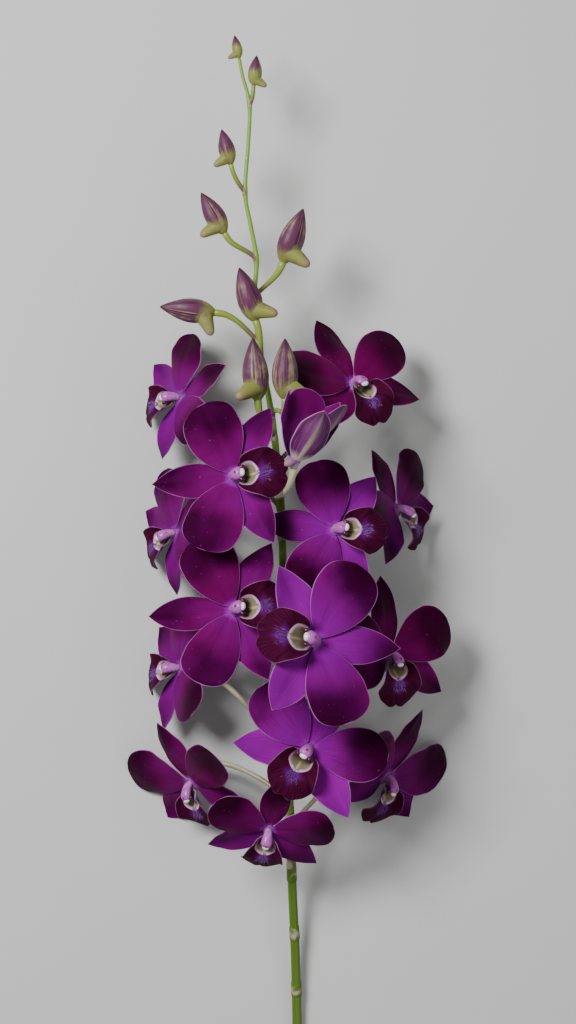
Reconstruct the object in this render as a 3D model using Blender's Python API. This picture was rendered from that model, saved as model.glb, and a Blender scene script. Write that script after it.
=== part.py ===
"""A cut stem of dendrobium orchid, lying on a flat surface.

The frame is in metres with +Z up and the surface at z = 0. The stem runs along +Y from its
cut end to its tip, and its blooms face up and to both sides. All sizes below are millimetres.
"""

import math

import bpy
from mathutils import Matrix, Vector

MM = 0.001

# Moves the origin to the bottom centre of the box
FRAME_SHIFT = Vector((-1.4, -278.5, 0.0))

# Clearance between pieces that touch, and how far a resting bloom is pressed on the surface
SEAT_GAP = 0.3
REST_SINK = 5.0

# Flower stalk: x, y, z and radius at hand-set points from the cut end to the last fork
STALK = (
    (6.5, 0.0, 2.6, 2.5),
    (6.2, 55.0, 2.7, 2.4),
    (5.2, 105.0, 7.0, 2.3),
    (3.5, 145.0, 16.0, 2.2),
    (2.0, 185.0, 28.0, 2.1),
    (0.5, 230.0, 35.0, 2.0),
    (-0.5, 280.0, 37.0, 1.9),
    (-2.0, 330.0, 38.0, 1.7),
    (-6.0, 372.0, 39.0, 1.5),
    (-12.4, 408.0, 40.0, 1.3),
    (-14.5, 432.0, 41.0, 1.2),
    (-13.8, 450.0, 42.0, 1.1),
    (-16.5, 466.0, 42.5, 1.05),
    (-19.2, 482.0, 43.0, 1.0),
    (-17.6, 506.0, 43.5, 0.95),
    (-17.1, 524.0, 44.0, 0.9),
    (-20.5, 538.0, 44.0, 0.85),
    (-22.0, 546.0, 44.0, 0.8),
)
STALK_STEPS = 2
STALK_SIDES = 7
RINGS_AT = (62.0, 92.0, 120.0, 150.0, 180.0)
RING_HALF = 1.6
RING_PROUD = 0.35
RING_SIDES = 8

# Stalks of blooms and buds
PEDICEL_RADIUS = 1.15
PEDICEL_END_RADIUS = 1.7
PEDICEL_SIDES = 5
PEDICEL_STEPS = 4
PEDICEL_PULL_OUT = 1.1
PEDICEL_PULL_IN = 0.9
STRAIGHT_END = 3.0

# Dry scale below each of them: how far it starts below the node, ends above it and stands off
SCALE_BELOW = 1.5
SCALE_ABOVE = 3.0
SCALE_OFF = 1.4
SCALE_RADIUS = 1.3
SCALE_TIP_RADIUS = 0.3
SCALE_SIDES = 4

# Bloom: tepals as strips, angle from the top sepal clockwise as seen from the front
BLADE_THICKNESS = 0.75
POINTED_TIP = 0.35
ROUNDED_TIP = 3.5
POINTED_POWER = 1.9
ROUNDED_POWER = 3.0
ROOT_POWER = 1.5
WAVES_ALONG = 7.0
WAVES_ACROSS = 2.4
NORMAL_STEP = 0.01
SHARP_ANGLE = 40.0
SEPAL_GRID = (4, 3)
PETAL_GRID = (5, 4)
SEPAL_TOP = dict(length=38.0, width=17.5, widest=0.48, root=1.7, pointed=True, cup=-0.5)
SEPAL_SIDE = dict(length=35.0, width=19.0, widest=0.42, root=1.9, pointed=True, cup=0.4)
PETAL = dict(length=37.0, width=30.0, widest=0.62, root=1.7, pointed=False, cup=-0.4)
PETAL_ANGLE = 65.0
SEPAL_SIDE_ANGLE = 119.0
ROOT_RADIUS = 2.5
SEPAL_LIFT = -1.3
# Tepals in order: shape, angle, lift of the root, height of the edge waves
TEPAL_PLAN = (
    (SEPAL_TOP, 0.0, SEPAL_LIFT, 0.3),
    (SEPAL_SIDE, SEPAL_SIDE_ANGLE, SEPAL_LIFT, 0.5),
    (SEPAL_SIDE, -SEPAL_SIDE_ANGLE, SEPAL_LIFT, 0.5),
    (PETAL, PETAL_ANGLE, 0.0, 0.9),
    (PETAL, -PETAL_ANGLE, 0.0, 0.9),
)

# Bloom: neck and spur behind the tepals, lip and column in front of them
NECK = ((0.0, 1.4, -6.0, 1.8), (0.0, 0.6, -3.4, 2.7), (0.0, 0.0, -0.8, 3.2), (0.0, 0.0, 0.5, 3.2))
SPUR = ((0.0, -0.8, -1.4, 2.7), (0.0, -4.6, -4.2, 2.1), (0.0, -8.0, -7.0, 1.1))
COLUMN = ((0.0, 0.2, 0.5, 1.9), (0.0, 0.1, 2.8, 2.3), (0.0, -3.0, 6.4, 2.9), (0.0, -5.9, 7.9, 1.7))
NECK_SIDES = 6
SPUR_SIDES = 5
COLUMN_SIDES = 6
LIP_GRID = (5, 6)
LIP_STEPS = 8
LEAST_CURL = 0.001
# Middle line of the lip from its claw to its front edge: y, z, half width, curl to the front
LIP_LINE = (
    (-2.9, 1.15, 2.6, 0.22),
    (-5.4, 2.2, 8.0, 0.16),
    (-8.0, 3.5, 10.8, 0.135),
    (-11.2, 5.4, 11.6, 0.08),
    (-14.8, 6.6, 12.2, 0.04),
    (-19.0, 6.0, 12.2, -0.02),
    (-23.4, 4.0, 9.6, -0.04),
    (-26.4, 1.8, 4.0, -0.05),
)

# How far a bloom is open: slope of its tepals at root and at tip in degrees, which differ, and
# the share of their full width
OPEN = dict(sepals=(7.0, -4.0), petals=(16.0, -4.0), sepal_spread=1.0, petal_spread=1.0)
HALF_OPEN = dict(sepals=(46.0, 90.0), petals=(56.0, 88.0), sepal_spread=1.0,
                 petal_spread=0.8, cup=1.0)

# Blooms: centre, direction it faces, direction of its top sepal, size, and the place on the
# stalk where its own stalk leaves. A bloom that rests is lowered until its lowest tepal lies
# on the surface.
BLOOMS = (
    dict(centre=(-8, 176, 48), face=(-0.05, -0.60, 0.80), up=(0.2, 0.8, 0.6),
         size=0.85, node=156, rests=False),
    dict(centre=(50, 199, 28), face=(0.62, -0.40, 0.65), up=(0.5, 0.8, 0.2),
         size=0.92, node=176, rests=True),
    dict(centre=(-46, 196, 26), face=(-0.55, -0.50, 0.67), up=(-0.3, 0.9, 0.1),
         size=0.90, node=188, rests=True),
    dict(centre=(11, 216, 62), face=(0.05, 0.24, 0.96), up=(0.5, 0.87, 0.0),
         size=1.0, node=199, rests=False),
    dict(centre=(-52, 252, 28), face=(-0.78, 0.22, 0.60), up=(0.3, 0.4, 0.9),
         size=0.85, node=212, rests=True),
    dict(centre=(50, 260, 50), face=(0.55, 0.12, 0.82), up=(0.0, 1.0, 0.0),
         size=0.95, node=226, rests=False),
    dict(centre=(14, 268, 82), face=(0.20, 0.22, 0.95), up=(1.0, -0.05, 0.0),
         size=1.08, node=240, rests=False),
    dict(centre=(-24, 282, 63), face=(-0.15, 0.22, 0.95), up=(-1.0, 0.0, 0.0),
         size=1.02, node=254, rests=False),
    dict(centre=(-54, 318, 28), face=(-0.80, 0.10, 0.58), up=(0.2, 0.6, 0.75),
         size=0.85, node=270, rests=True),
    dict(centre=(55, 330, 28), face=(0.80, 0.10, 0.58), up=(-0.2, 0.8, 0.5),
         size=0.85, node=286, rests=True),
    dict(centre=(24, 320, 62), face=(0.02, 0.24, 0.97), up=(-1.0, 0.12, 0.0),
         size=0.92, node=300, rests=False),
    dict(centre=(-24, 345, 68), face=(-0.18, 0.22, 0.95), up=(-1.0, 0.0, 0.0),
         size=1.0, node=316, rests=False),
    dict(centre=(-52, 384, 30), face=(-0.72, 0.30, 0.62), up=(0.3, 0.5, 0.8),
         size=0.85, node=330, rests=True),
    dict(centre=(33, 390, 46), face=(0.35, 0.50, 0.79), up=(-0.3, 1.0, 0.0),
         size=0.95, node=352, rests=False),
)

OPENING_BLOOM = dict(centre=(5, 354, 90), face=(0.34, 0.90, 0.24),
                     up=(0.64, -0.1, -0.75), size=0.92, node=336, rests=False,
                     lean=(-0.2, 0.05, 1.0))

# Buds: base of the bud, direction of its tip, length, radius, y of its node, spur direction
BUDS = (
    dict(base=(-13, 382, 58), along=(-0.08, 1.0, 0.1), length=29, radius=6.3,
         node=364, spur=(-0.6, -0.4, 0.65)),
    dict(base=(0, 382, 70), along=(0.0, 1.0, 0.1), length=28, radius=6.2,
         node=374, spur=(0.8, -0.4, 0.35)),
    dict(base=(-14, 420, 52), along=(-0.3, 0.95, 0.1), length=26, radius=6.0,
         node=396, spur=(0.9, -0.2, 0.3)),
    dict(base=(-34, 424, 46), along=(-1.0, 0.1, 0.1), length=26, radius=5.9,
         node=410, spur=(0.35, -0.9, 0.3)),
    dict(base=(-1, 448, 50), along=(0.35, 0.9, 0.15), length=27, radius=6.1,
         node=432, spur=(0.8, -0.6, 0.3)),
    dict(base=(-29, 462, 48), along=(-0.5, 0.85, 0.1), length=22, radius=5.0,
         node=450, spur=(-0.9, -0.6, 0.3)),
    dict(base=(-26, 495, 47), along=(-0.25, 0.95, 0.1), length=17, radius=4.0,
         node=482, spur=(-0.9, -0.6, 0.2)),
    dict(base=(-15, 533, 46), along=(0.1, 1.0, 0.1), length=14, radius=3.4,
         node=524, spur=(0.9, -0.6, 0.2)),
    dict(base=(-22.06, 546.3, 44), along=(-0.2, 1.0, 0.0), length=11, radius=2.5,
         node=None, spur=(-0.9, -0.5, 0.2)),
)
BUD_SIDES = 8
BUD_RINGS = 6
BUD_END_FIT = 0.9

# Spur of a bud: where it leaves, its reach in lengths of the bud, and its rings as the part of
# that reach and the radius in radii of the bud
BUD_SPUR_AT = 0.22
BUD_SPUR_REACH = 0.50
BUD_SPUR_RINGS = ((0.0, 0.70), (0.6, 0.50), (1.0, 0.22))
BUD_SPUR_SIDES = 6

# Finishes: colour, roughness, metallic
FINISHES = {
    "stalk_green": ((0.16, 0.30, 0.03, 1.0), 0.45, 0.0),
    "tepal_purple": ((0.14, 0.0, 0.17, 1.0), 0.5, 0.0),
    "lip_maroon": ((0.06, 0.003, 0.04, 1.0), 0.6, 0.0),
    "column_white": ((0.70, 0.55, 0.66, 1.0), 0.35, 0.0),
    "bud_mauve": ((0.22, 0.10, 0.16, 1.0), 0.45, 0.0),
}


def clear_scene():
    """Remove every object that the file holds."""
    for item in list(bpy.data.objects):
        bpy.data.objects.remove(item, do_unlink=True)


def make_finishes():
    """Return the materials by name."""
    made = {}
    for name, (colour, roughness, metallic) in FINISHES.items():
        material = bpy.data.materials.new(name)
        material.use_nodes = True
        shader = material.node_tree.nodes["Principled BSDF"]
        shader.inputs["Base Color"].default_value = colour
        shader.inputs["Roughness"].default_value = roughness
        shader.inputs["Metallic"].default_value = metallic
        made[name] = material
    return made


def solid(name, points, faces):
    """Make an object from points in millimetres and faces that point outwards."""
    mesh = bpy.data.meshes.new(name)
    mesh.from_pydata([(Vector(p) + FRAME_SHIFT) * MM for p in points], [], faces)
    mesh.validate()
    item = bpy.data.objects.new(name, mesh)
    bpy.context.scene.collection.objects.link(item)
    return item


def fuse(name, parts, material):
    """Join closed parts into one closed body with a Boolean union on a collection."""
    body, rest = parts[0], parts[1:]
    if rest:
        group = bpy.data.collections.new(name + "_parts")
        for part in rest:
            group.objects.link(part)
        union = body.modifiers.new("union", "BOOLEAN")
        union.operation = "UNION"
        union.solver = "EXACT"
        union.operand_type = "COLLECTION"
        union.collection = group
        depsgraph = bpy.context.evaluated_depsgraph_get()
        joined = bpy.data.meshes.new_from_object(body.evaluated_get(depsgraph))
        body.modifiers.clear()
        body.data = joined
        for part in rest:
            bpy.data.objects.remove(part, do_unlink=True)
        bpy.data.collections.remove(group)
    body.name = name
    body.data.name = name
    body.data.materials.clear()
    body.data.materials.append(material)
    body.data.shade_smooth()
    body.data.set_sharp_from_angle(angle=math.radians(SHARP_ANGLE))
    return body


def curve_through(points, steps):
    """Return points on a smooth curve through points of any number of values."""
    count = len(points)
    result = []
    for i in range(count - 1):
        before, here = points[max(i - 1, 0)], points[i]
        there, after = points[i + 1], points[min(i + 2, count - 1)]
        for step in range(steps):
            t = step / steps
            result.append(tuple(
                0.5 * (2 * b + (c - a) * t + (2 * a - 5 * b + 4 * c - d) * t * t
                       + (3 * b - a - 3 * c + d) * t ** 3)
                for a, b, c, d in zip(before, here, there, after)))
    result.append(tuple(points[-1]))
    return result


def tube(name, rings, sides):
    """Make a closed tube along rings of x, y, z and radius, with flat ends."""
    centres = [Vector(ring[:3]) for ring in rings]
    points, faces = [], []
    side = None
    for i, (centre, ring) in enumerate(zip(centres, rings)):
        ahead = centres[min(i + 1, len(centres) - 1)] - centres[max(i - 1, 0)]
        ahead.normalize()
        if side is None:
            side = ahead.orthogonal()
        side = (side - ahead * side.dot(ahead)).normalized()
        other = ahead.cross(side)
        for k in range(sides):
            angle = 2 * math.pi * k / sides
            points.append(centre + ring[3] * (side * math.cos(angle) + other * math.sin(angle)))
    for i in range(len(rings) - 1):
        for k in range(sides):
            a, b = i * sides + k, i * sides + (k + 1) % sides
            faces.append((a, b, b + sides, a + sides))
    last = (len(rings) - 1) * sides
    faces.append(tuple(range(sides - 1, -1, -1)))
    faces.append(tuple(range(last, last + sides)))
    return solid(name, points, faces)


def blade(name, point_at, rows, columns, row_at):
    """Make a closed blade round the surface point_at(t, s), split alike on both faces."""
    upper, lower = [], []
    for i in range(rows + 1):
        t = row_at(i / rows)
        for k in range(columns + 1):
            s = -1 + 2 * k / columns
            middle = point_at(t, s)
            t_low, t_high = max(t - NORMAL_STEP, 0.0), min(t + NORMAL_STEP, 1.0)
            s_low, s_high = max(s - NORMAL_STEP, -1.0), min(s + NORMAL_STEP, 1.0)
            along = point_at(t_high, s) - point_at(t_low, s)
            across = point_at(t, s_high) - point_at(t, s_low)
            normal = across.cross(along).normalized()
            upper.append(middle + normal * BLADE_THICKNESS / 2)
            lower.append(middle - normal * BLADE_THICKNESS / 2)
    points = upper + lower
    offset = len(upper)
    width = columns + 1
    faces = []
    for i in range(rows):
        for k in range(columns):
            a = i * width + k
            b, c, d = a + 1, a + width + 1, a + width
            faces += [(a, b, c), (a, c, d)]
            faces += [(c + offset, b + offset, a + offset), (d + offset, c + offset, a + offset)]
    rim = list(range(width))
    rim += [i * width + columns for i in range(1, rows + 1)]
    rim += [rows * width + k for k in range(columns - 1, -1, -1)]
    rim += [i * width for i in range(rows - 1, 0, -1)]
    for a, b in zip(rim, rim[1:] + rim[:1]):
        faces.append((a, a + offset, b + offset, b))
    for p in points:
        p.z = max(p.z, 0.0)
    return solid(name, points, faces)


def bloom_frame(spec):
    """Return the matrix from a bloom's own frame: +Z faces out, +Y is its top sepal."""
    face = Vector(spec["face"]).normalized()
    up = Vector(spec["up"])
    up = (up - face * up.dot(face)).normalized()
    right = up.cross(face)
    turn = Matrix((right, up, face)).transposed().to_4x4()
    frame = Matrix.Translation(Vector(spec["centre"])) @ turn @ Matrix.Scale(spec["size"], 4)
    if spec["rests"]:
        places = [surface(t / 20, s / 4) for surface in tepal_surfaces(frame, OPEN, -math.inf)
                  for t in range(21) for s in range(-4, 5)]
        lowest = min(place.z for place in places) - BLADE_THICKNESS / 2
        frame = Matrix.Translation(Vector((0.0, 0.0, -lowest - REST_SINK))) @ frame
    return frame


def tepal_half_width(shape, t):
    """Half width of a tepal at the part t of its length."""
    widest, half = shape["widest"], shape["width"] / 2
    if t < widest:
        grown = math.sin(math.pi / 2 * t / widest) ** ROOT_POWER
        return shape["root"] + (half - shape["root"]) * grown
    past = (t - widest) / (1 - widest)
    if shape["pointed"]:
        return max(half * (1 - past ** POINTED_POWER), POINTED_TIP)
    return max(half * math.sqrt(max(1 - past ** ROUNDED_POWER, 0.0)), ROUNDED_TIP)


def tepal_surface(frame, shape, angle, bend, lift, wave, floor):
    """Return the middle surface of one tepal, point(t, s), in world millimetres.

    What would sink below the height floor lies flat there.
    """
    angle = math.radians(angle)
    start, end = math.radians(bend[0]), math.radians(bend[1])
    outward = Vector((math.sin(angle), math.cos(angle), 0.0))
    sideways = Vector((math.cos(angle), -math.sin(angle), 0.0))
    forward = Vector((0.0, 0.0, 1.0))
    length, curl = shape["length"], shape["cup"] / shape["width"]

    def point(t, s):
        slope = start + (end - start) * t
        reach = length * (math.sin(slope) - math.sin(start)) / (end - start)
        rise = length * (math.cos(start) - math.cos(slope)) / (end - start)
        half = tepal_half_width(shape, t)
        offset = s * half
        across = math.sin(curl * offset) / curl
        above = (1 - math.cos(curl * offset)) / curl
        fullness = 2 * half / shape["width"]
        waves = math.sin(WAVES_ALONG * t + WAVES_ACROSS * s + angle)
        above += wave * fullness * t * s * s * waves
        tilted = forward * math.cos(slope) - outward * math.sin(slope)
        place = outward * (ROOT_RADIUS + reach) + forward * (lift + rise)
        place = frame @ (place + sideways * across + tilted * above)
        place.z = max(place.z, floor)
        return place

    return point


def tepal_surfaces(frame, opening, floor=BLADE_THICKNESS / 2):
    """Return the middle surfaces of a bloom's three sepals and two petals."""
    surfaces = []
    for shape, angle, lift, wave in TEPAL_PLAN:
        kind = "sepal" if shape["pointed"] else "petal"
        bend, spread = opening[kind + "s"], opening[kind + "_spread"]
        shaped = dict(shape, width=shape["width"] * spread,
                      cup=opening.get("cup", shape["cup"]))
        surfaces.append(tepal_surface(frame, shaped, angle, bend, lift, wave, floor))
    return surfaces


def lip_surface(frame):
    """Return the middle surface of the lip, point(t, s), in world millimetres."""
    line = curve_through(LIP_LINE, LIP_STEPS)
    last = len(line) - 1

    def point(t, s):
        place = t * last
        i = min(int(place), last - 1)
        part = place - i
        y, z, half, curl = (a + (b - a) * part for a, b in zip(line[i], line[i + 1]))
        ahead = Vector((0.0, line[i + 1][0] - line[i][0], line[i + 1][1] - line[i][1]))
        ahead.normalize()
        above = Vector((0.0, ahead.z, -ahead.y))
        if abs(curl) < LEAST_CURL:
            curl = LEAST_CURL
        offset = s * half
        across = math.sin(curl * offset) / curl
        rise = (1 - math.cos(curl * offset)) / curl
        return frame @ (Vector((across, y, z)) + above * rise)

    return point


def dense_at_tip(u):
    """Row spacing that puts more rows near the tip."""
    return u * (1.5 - 0.5 * u)


def even(u):
    """Even row spacing."""
    return u


def framed_rings(frame, rings):
    """Move rings of x, y, z and radius by a bloom's frame."""
    scale = frame.to_scale().x
    return [(*(frame @ Vector(ring[:3])), ring[3] * scale) for ring in rings]


def make_tepals(name, frame, opening, material):
    """Make the five tepals, the neck and the spur of a bloom as one body."""
    parts = [tube("neck", framed_rings(frame, NECK), NECK_SIDES),
             tube("spur", framed_rings(frame, SPUR), SPUR_SIDES)]
    for (shape, *_), surface in zip(TEPAL_PLAN, tepal_surfaces(frame, opening)):
        rows, columns = SEPAL_GRID if shape["pointed"] else PETAL_GRID
        parts.append(blade("tepal", surface, rows, columns, dense_at_tip))
    return fuse(name, parts, material)


def make_bloom(name, spec, finishes):
    """Make an open bloom: tepals, lip and column."""
    frame = bloom_frame(spec)
    make_tepals(name + "_tepals", frame, OPEN, finishes["tepal_purple"])
    lip = blade("lip", lip_surface(frame), *LIP_GRID, even)
    fuse(name + "_lip", [lip], finishes["lip_maroon"])
    shift = Vector((0.0, 0.0, SEAT_GAP))
    rings = [(*(Vector(ring[:3]) + shift), ring[3]) for ring in COLUMN]
    column = tube("column", framed_rings(frame, rings), COLUMN_SIDES)
    fuse(name + "_column", [column], finishes["column_white"])


def bud_radius(u, radius):
    """Radius of a bud at the part u of its length, blunt at the base and pointed at the tip."""
    return radius * math.sin(math.pi * (0.045 + 0.94 * u) ** 0.78) ** 0.85


def make_bud(name, spec, material):
    """Make a closed bud with its spur."""
    base, along = Vector(spec["base"]), Vector(spec["along"]).normalized()
    length, radius = spec["length"], spec["radius"]
    rings = [(*(base + along * length * i / (BUD_RINGS - 1)),
              bud_radius(i / (BUD_RINGS - 1), radius)) for i in range(BUD_RINGS)]
    away = Vector(spec["spur"]).normalized() * length * BUD_SPUR_REACH
    start = base + along * length * BUD_SPUR_AT
    spur = [(*(start + away * reach), radius * share) for reach, share in BUD_SPUR_RINGS]
    parts = [tube("bud", rings, BUD_SIDES), tube("spur", spur, BUD_SPUR_SIDES)]
    return fuse(name, parts, material)


def stalk_at(line, y):
    """Point and radius of the stalk at the distance y from the cut end."""
    for a, b in zip(line, line[1:]):
        if a[1] <= y <= b[1]:
            part = (y - a[1]) / (b[1] - a[1])
            return tuple(p + (q - p) * part for p, q in zip(a, b))
    return line[-1]


def pedicel(start, lean, end, arrive, end_radius):
    """Make the stalk of one flower from the main stalk to its end, arriving along arrive."""
    bent_end = end - arrive * STRAIGHT_END
    reach = (bent_end - start).length
    pull_out, pull_in = lean * reach * PEDICEL_PULL_OUT, arrive * reach * PEDICEL_PULL_IN
    rings = []
    for i in range(PEDICEL_STEPS + 1):
        t = i / PEDICEL_STEPS
        place = (start * (2 * t ** 3 - 3 * t * t + 1) + pull_out * (t ** 3 - 2 * t * t + t)
                 + bent_end * (3 * t * t - 2 * t ** 3) + pull_in * (t ** 3 - t * t))
        rings.append((*place, PEDICEL_RADIUS + (end_radius - PEDICEL_RADIUS) * t * t))
    rings.append((*end, end_radius))
    return tube("pedicel", rings, PEDICEL_SIDES)


def node_parts(line, spec, end, arrive, end_radius):
    """Make a flower's stalk and the small dry scale below it, at its node on the main stalk."""
    x, y, z, radius = stalk_at(line, spec["node"])
    start = Vector((x, y, z))
    side = end - start
    side.y = 0.0
    side.normalize()
    lean = Vector(spec.get("lean", side + Vector((0.0, 1.0, 0.0)))).normalized()
    scale_base = start + side * radius * 0.3 - Vector((0.0, SCALE_BELOW, 0.0))
    scale_tip = start + side * (radius + SCALE_OFF) + Vector((0.0, SCALE_ABOVE, 0.0))
    scale = tube("scale", [(*scale_base, SCALE_RADIUS), (*scale_tip, SCALE_TIP_RADIUS)],
                 SCALE_SIDES)
    return [pedicel(start, lean, end, arrive, end_radius), scale]


def make_stem(material):
    """Make the stalk, its sheath rings, its scales and all flower stalks as one body."""
    line = curve_through(STALK, STALK_STEPS)
    parts = [tube("stalk", line, STALK_SIDES)]
    for y in RINGS_AT:
        low, high = stalk_at(line, y - RING_HALF), stalk_at(line, y + RING_HALF)
        rings = [(*place[:3], place[3] + RING_PROUD) for place in (low, high)]
        parts.append(tube("ring", rings, RING_SIDES))
    for spec in (*BLOOMS, OPENING_BLOOM):
        back, ahead = (bloom_frame(spec) @ Vector(ring[:3]) for ring in NECK[:2])
        arrive = (ahead - back).normalized()
        end = back - arrive * SEAT_GAP
        parts += node_parts(line, spec, end, arrive, PEDICEL_END_RADIUS)
    for spec in BUDS:
        along = Vector(spec["along"]).normalized()
        end = Vector(spec["base"]) - along * SEAT_GAP
        end_radius = bud_radius(0.0, spec["radius"]) * BUD_END_FIT
        if spec["node"] is not None:
            parts += node_parts(line, spec, end, along, end_radius)
    return fuse("stem", parts, material)


def main():
    """Build the whole stem."""
    clear_scene()
    finishes = make_finishes()
    make_stem(finishes["stalk_green"])
    for number, spec in enumerate(BLOOMS, start=1):
        make_bloom(f"bloom_{number:02d}", spec, finishes)
    make_tepals("opening_bloom", bloom_frame(OPENING_BLOOM), HALF_OPEN,
                finishes["tepal_purple"])
    for number, spec in enumerate(BUDS, start=1):
        make_bud(f"bud_{number:02d}", spec, finishes["bud_mauve"])


main()
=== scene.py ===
"""A cut stem of dendrobium orchid lying on a pale surface, seen from above.

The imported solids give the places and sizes. Each bloom, bud and stalk is modelled again here
with thin waved petals, a velvety lip and real skin, in the same frame. Sizes are millimetres
until a mesh is written, which is in metres.
"""

import logging
import math
import random
from dataclasses import dataclass, replace
from enum import Enum
from typing import Callable, Iterable, Sequence

import bpy
from mathutils import Matrix, Vector

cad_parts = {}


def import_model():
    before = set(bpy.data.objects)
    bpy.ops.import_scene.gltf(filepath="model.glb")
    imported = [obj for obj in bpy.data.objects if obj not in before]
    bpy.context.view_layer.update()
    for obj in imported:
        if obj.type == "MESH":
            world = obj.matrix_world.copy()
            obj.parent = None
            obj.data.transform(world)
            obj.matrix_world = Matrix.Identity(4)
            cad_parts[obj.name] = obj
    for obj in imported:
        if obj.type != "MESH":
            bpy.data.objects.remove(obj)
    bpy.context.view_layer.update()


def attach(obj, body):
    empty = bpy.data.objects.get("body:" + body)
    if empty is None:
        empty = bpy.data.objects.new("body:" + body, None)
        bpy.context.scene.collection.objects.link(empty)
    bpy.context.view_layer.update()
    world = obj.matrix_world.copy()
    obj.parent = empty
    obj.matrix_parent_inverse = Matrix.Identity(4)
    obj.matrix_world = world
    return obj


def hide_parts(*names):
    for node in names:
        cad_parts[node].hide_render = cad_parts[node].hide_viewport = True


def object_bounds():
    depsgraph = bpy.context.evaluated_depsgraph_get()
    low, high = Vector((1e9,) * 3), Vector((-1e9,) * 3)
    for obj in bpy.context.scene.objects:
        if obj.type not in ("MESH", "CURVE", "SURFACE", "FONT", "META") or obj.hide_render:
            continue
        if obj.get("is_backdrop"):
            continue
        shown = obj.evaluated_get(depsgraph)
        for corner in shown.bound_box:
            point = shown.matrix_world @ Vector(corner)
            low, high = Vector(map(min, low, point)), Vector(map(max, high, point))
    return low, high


LOG = logging.getLogger("orchid")

MM = 0.001
FRAME_SHIFT = Vector((-1.4, -278.5, 0.0))
ALONG = Vector((0.0, 1.0, 0.0))
NECK_AXIS = ((0.0, 1.4, -6.0), (0.0, 0.6, -3.4))
OPENING_SEED = 50
BUD_SEED = 100

Surface = Callable[[float, float], Vector]
Colour = tuple[float, float, float]


# Shader maths


class Shade:
    """A number or colour inside a material, which Python operators combine."""

    def __init__(self, board: "Board", socket: bpy.types.NodeSocket) -> None:
        """Wrap a socket of one of the board's nodes."""
        self.board = board
        self.socket = socket

    def __add__(self, other: "Shade | float") -> "Shade":
        """Sum of two numbers."""
        return self.board.math("ADD", self, other)

    def __sub__(self, other: "Shade | float") -> "Shade":
        """Difference of two numbers."""
        return self.board.math("SUBTRACT", self, other)

    def __rsub__(self, other: float) -> "Shade":
        """Difference with the shade as the second number."""
        return self.board.math("SUBTRACT", other, self)

    def __mul__(self, other: "Shade | float") -> "Shade":
        """Product of two numbers."""
        return self.board.math("MULTIPLY", self, other)

    def __pow__(self, other: float) -> "Shade":
        """Power of a number."""
        return self.board.math("POWER", self, other)

    def __abs__(self) -> "Shade":
        """Size of a number without its sign."""
        return self.board.math("ABSOLUTE", self)

    __radd__ = __add__
    __rmul__ = __mul__


class Board:
    """The nodes of one material."""

    def __init__(self, name: str, **constants: object) -> None:
        """Start a Principled material and set what is the same all over it.

        Args:
            name: the material's name.
            constants: shader sockets by name, with _ for a space.
        """
        self.material = bpy.data.materials.new(name)
        self.material.use_nodes = True
        self.tree = self.material.node_tree
        self.shader = self.tree.nodes["Principled BSDF"]
        for socket, value in constants.items():
            self.shader.inputs[socket.replace("_", " ")].default_value = value

    def add(self, kind: str, settings: dict, values: dict, output: int = 0) -> Shade:
        """Add a node.

        Args:
            kind: the node's type.
            settings: properties to set before the sockets.
            values: links and numbers by socket name or number.
            output: which output to return.

        Returns:
            The output as a shade.
        """
        node = self.tree.nodes.new(kind)
        for name, value in settings.items():
            setattr(node, name, value)
        for name, value in values.items():
            self.feed(node.inputs[name], value)
        return Shade(self, node.outputs[output])

    def feed(self, socket: bpy.types.NodeSocket, value: object) -> None:
        """Link a shade to a socket, or set its number or colour."""
        if isinstance(value, Shade):
            self.tree.links.new(value.socket, socket)
        elif isinstance(value, tuple) and len(value) == 3 and socket.type == "RGBA":
            socket.default_value = (*value, 1.0)
        else:
            socket.default_value = value

    def math(self, operation: str, *values: "Shade | float") -> Shade:
        """Add a Math node on the values in order."""
        return self.add("ShaderNodeMath", {"operation": operation}, dict(enumerate(values)))

    def vector(self, x: "Shade | float", y: "Shade | float", z: "Shade | float") -> Shade:
        """Join three numbers in a vector."""
        return self.add("ShaderNodeCombineXYZ", {}, {0: x, 1: y, 2: z})

    def stored(self, name: str) -> tuple[Shade, Shade, Shade]:
        """The three numbers that a mesh stores for each point under a name."""
        store = self.add("ShaderNodeAttribute", {"attribute_name": name}, {}, output=1)
        split = self.add("ShaderNodeSeparateXYZ", {}, {0: store})
        return tuple(Shade(self, socket) for socket in split.socket.node.outputs)

    def place(self) -> Shade:
        """Position in the frame."""
        return self.add("ShaderNodeTexCoord", {}, {}, output=3)

    def mix(self, factor: "Shade | float", first: "Shade | Colour",
            second: "Shade | Colour") -> Shade:
        """Blend two colours, from first at 0 to second at 1."""
        return self.add("ShaderNodeMix", {"data_type": "RGBA"},
                        {0: factor, 6: first, 7: second}, output=2)

    def smooth(self, value: Shade, low: float, high: float) -> Shade:
        """Smooth step from 0 at low to 1 at high, either of which may be the larger number."""
        return self.add("ShaderNodeMapRange", {"interpolation_type": "SMOOTHSTEP"},
                        {0: value, 1: low, 2: high})

    def noise(self, place: Shade, scale: float, detail: float = 2.0) -> Shade:
        """Noise from 0 to 1 round a place."""
        return self.add("ShaderNodeTexNoise", {},
                        {"Vector": place, "Scale": scale, "Detail": detail})

    def bump(self, height: Shade, distance: float) -> None:
        """Disturb the surface by a height, given as shares of a distance in metres."""
        node = self.add("ShaderNodeBump", {}, {"Height": height, "Distance": distance})
        self.feed(self.shader.inputs["Normal"], node)

    @staticmethod
    def uneven(levels: tuple[float, float], share: Shade) -> Shade:
        """The first level, and as much of the second on top as the share says."""
        return levels[0] + share * levels[1]

    def finish(self, colour: Shade, roughness: "Shade | float") -> bpy.types.Material:
        """Feed the colour and the roughness, and return the material."""
        self.feed(self.shader.inputs["Base Color"], colour)
        self.feed(self.shader.inputs["Roughness"], roughness)
        return self.material


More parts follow.
